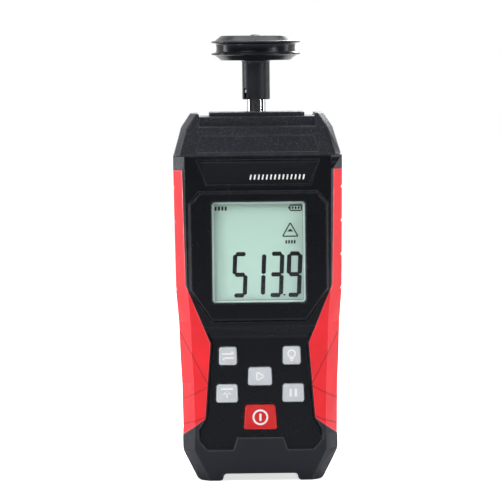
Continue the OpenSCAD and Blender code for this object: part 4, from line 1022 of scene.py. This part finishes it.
lower, upper = 0.26 * WHEEL_T, 0.74 * WHEEL_T
side = DRUM - LIP_ROOT
profile = [(HUB_CORE, 0), (HUB_CORE + 0.5, 0.05), (side, SIDE_DROP)]
for height in (lower, upper):
    profile += [(DRUM, height - LIP_T - LIP_ROOT), (DRUM + 0.35, height - LIP_T - 0.05),
                (LIP - 0.12, height - LIP_T * 0.7), (LIP, height - LIP_T * 0.35),
                (LIP, height + LIP_T * 0.35), (LIP - 0.12, height + LIP_T * 0.7),
                (DRUM + 0.35, height + LIP_T + 0.05), (DRUM, height + LIP_T + LIP_ROOT)]
    if height == lower:
        profile += [(DRUM - 0.12, (lower + upper) / 2)]
profile += [(side, WHEEL_T - SIDE_DROP), (HUB_CORE + 0.5, WHEEL_T - 0.05), (HUB_CORE, WHEEL_T)]
tyre = turned("wheel_tyre_rubber", [(r, WHEEL_FOOT + z) for r, z in profile])
round_edges(tyre, TYRE_EDGE, lambda a, b: abs(a.z - b.z) < 0.01 and a.xy.length > HUB_CORE + 0.1,
            least=25, steps=2)
smooth(tyre, angle=45)
fit(tyre, wheel_rubber, "wheel", "wheel_rubber", "wheel_tyre")

hub = moulding("wheel_hub", "wheel_hub_body")
round_edges(hub, HUB_EDGE, lambda a, b: max(a.z, b.z) < HUB_END, least=40, steps=3)
round_edges(hub, HUB_NECK_EDGE, lambda a, b: abs(a.z - WHEEL_FOOT) < 0.01
            and abs(b.z - WHEEL_FOOT) < 0.01 and a.xy.length < HUB_NECK_R, least=40, steps=4)
smooth(hub)
fit(hub, hub_plastic, "wheel", "wheel_plastic", "wheel_hub")

dome = [(0.0001, 0), (2, 0), (1.85, 0.2), (1.4, 0.33), (0.7, 0.39), (0.0001, 0.4)]
cap = turned("wheel_cap_dome", [(r, WHEEL_FOOT + WHEEL_T + z) for r, z in dome], steps=48)
smooth(cap, angle=45)
fit(cap, wheel_rubber, "wheel", "wheel_plastic", "wheel_cap")

# Camera, lamps and floor
# The photograph's long lens, a little left of the front and slightly above; soft boxes round the
# object, a dark front so that black stays deep, and a floor and backdrop that are seen as white.

TARGET = point(-3.1, -18, 82.5)
AZIMUTH, ELEVATION, ROLL = math.radians(-1.0), math.radians(3), math.radians(-0.6)
DISTANCE = 1480 * MM
lens_data = bpy.data.cameras.new("photo_camera")
lens_data.lens = 300
lens_data.sensor_width = 36
lens_data.clip_start = 0.01
camera = bpy.data.objects.new("photo_camera", lens_data)
bpy.context.scene.collection.objects.link(camera)
back = Vector((math.sin(AZIMUTH) * math.cos(ELEVATION), -math.cos(AZIMUTH) * math.cos(ELEVATION),
               math.sin(ELEVATION)))
aim = (-back).to_track_quat("-Z", "Y").to_matrix().to_4x4() @ Matrix.Rotation(ROLL, 4, "Z")
camera.matrix_world = Matrix.Translation(TARGET + back * DISTANCE) @ aim
bpy.context.scene.camera = camera

LAMPS = [  # name, place, aim, width, height, watts
    ("key_box", (-0.5, -0.85, 0.75), (0, 0, 0.08), 0.5, 0.4, 4.6),
    ("fill_box", (0.8, -0.65, 0.45), (0, 0, 0.08), 0.4, 0.6, 1.6),
    ("left_strip", (-0.7, 0.16, 0.2), (0, 0, 0.08), 0.08, 0.8, 2.6),
    ("right_strip", (0.7, 0.16, 0.2), (0, 0, 0.08), 0.08, 0.8, 1.3),
    ("high_front_box", (0.7, -0.3, 0.95), (0, 0, 0.12), 0.35, 0.35, 3.2),
    ("low_left_glint", (-0.13, -0.095, 0.042), (0, -0.02, 0.06), 0.005, 0.075, 0.05),
    ("high_right_glint", (0.34, -0.24, 0.22), (0, -0.02, 0.09), 0.01, 0.2, 0.2),
    ("top_box", (0, 0.2, 0.9), (0, 0, 0.1), 0.7, 0.5, 3.5),
    ("back_box", (0.3, 0.9, 0.6), (0, 0, 0.08), 0.6, 0.5, 6.0),
]
for name, place, aim_at, width, height, watts in LAMPS:
    light = bpy.data.lights.new(name, "AREA")
    light.shape = "RECTANGLE"
    light.size = width
    light.size_y = height
    light.energy = watts
    lamp = bpy.data.objects.new(name, light)
    bpy.context.scene.collection.objects.link(lamp)
    towards = (Vector(aim_at) - Vector(place)).to_track_quat("-Z", "Y").to_matrix().to_4x4()
    lamp.matrix_world = Matrix.Translation(Vector(place)) @ towards

world = bpy.data.worlds.new("studio")
bpy.context.scene.world = world
world.use_nodes = True
sky = world.node_tree
background = sky.nodes["Background"]
background.inputs["Color"].default_value = (1, 1, 1, 1)
split = sky.nodes.new("ShaderNodeSeparateXYZ")
link(sky, (sky.nodes.new("ShaderNodeTexCoord").outputs["Generated"], split.inputs[0]))
wall = sky.nodes.new("ShaderNodeMapRange")
for label, value in (("From Min", 0.1), ("From Max", 0.85), ("To Min", 0.03), ("To Max", 0.9)):
    wall.inputs[label].default_value = value
link(sky, (split.outputs["Y"], wall.inputs["Value"]))
rays = sky.nodes.new("ShaderNodeLightPath").outputs
through = calculate(sky, "MULTIPLY", rays["Is Transmission Ray"],
                    calculate(sky, "GREATER_THAN", split.outputs["Y"], 0))
seen = calculate(sky, "MAXIMUM", rays["Is Camera Ray"], through)
link(sky, (calculate(sky, "MAXIMUM", wall.outputs["Result"], seen), background.inputs["Strength"]))

FLOOR_SIZE = 8
FLOOR_GLOW = 0.7
FLOOR_SHINE = 0.25
FLOOR_WHITE_FROM = 2.5
bpy.ops.object.select_all(action="DESELECT")
bpy.ops.mesh.primitive_grid_add(x_subdivisions=8, y_subdivisions=8, size=FLOOR_SIZE)
floor = bpy.context.object
floor.name = "studio_floor"
floor_white, tree, shader = surface("floor_white", (0.9, 0.9, 0.9, 1), roughness=0.8, specular=0.1)
rays = tree.nodes.new("ShaderNodeLightPath").outputs
floor_place = tree.nodes.new("ShaderNodeSeparateXYZ")
link(tree, (object_place(tree), floor_place.inputs[0]))
mirrored = calculate(tree, "MAXIMUM", rays["Is Transmission Ray"],
                     calculate(tree, "MULTIPLY", rays["Is Glossy Ray"], FLOOR_SHINE))
mirrored = calculate(tree, "MULTIPLY", mirrored,
                     calculate(tree, "GREATER_THAN", floor_place.outputs["Y"], 0))
seen = calculate(tree, "MAXIMUM", rays["Is Camera Ray"], mirrored)
shader.inputs["Emission Color"].default_value = (1, 1, 1, 1)
reach = tree.nodes.new("ShaderNodeVectorMath")
reach.operation = "LENGTH"
link(tree, (object_place(tree), reach.inputs[0]))
far = calculate(tree, "DIVIDE", reach.outputs["Value"], FLOOR_WHITE_FROM, clamp=True)
glow = spread(tree, far, FLOOR_GLOW, 1)
link(tree, (calculate(tree, "MULTIPLY", seen, glow), shader.inputs["Emission Strength"]))
floor.data.materials.append(floor_white)
bpy.context.scene.view_settings.view_transform = "Standard"
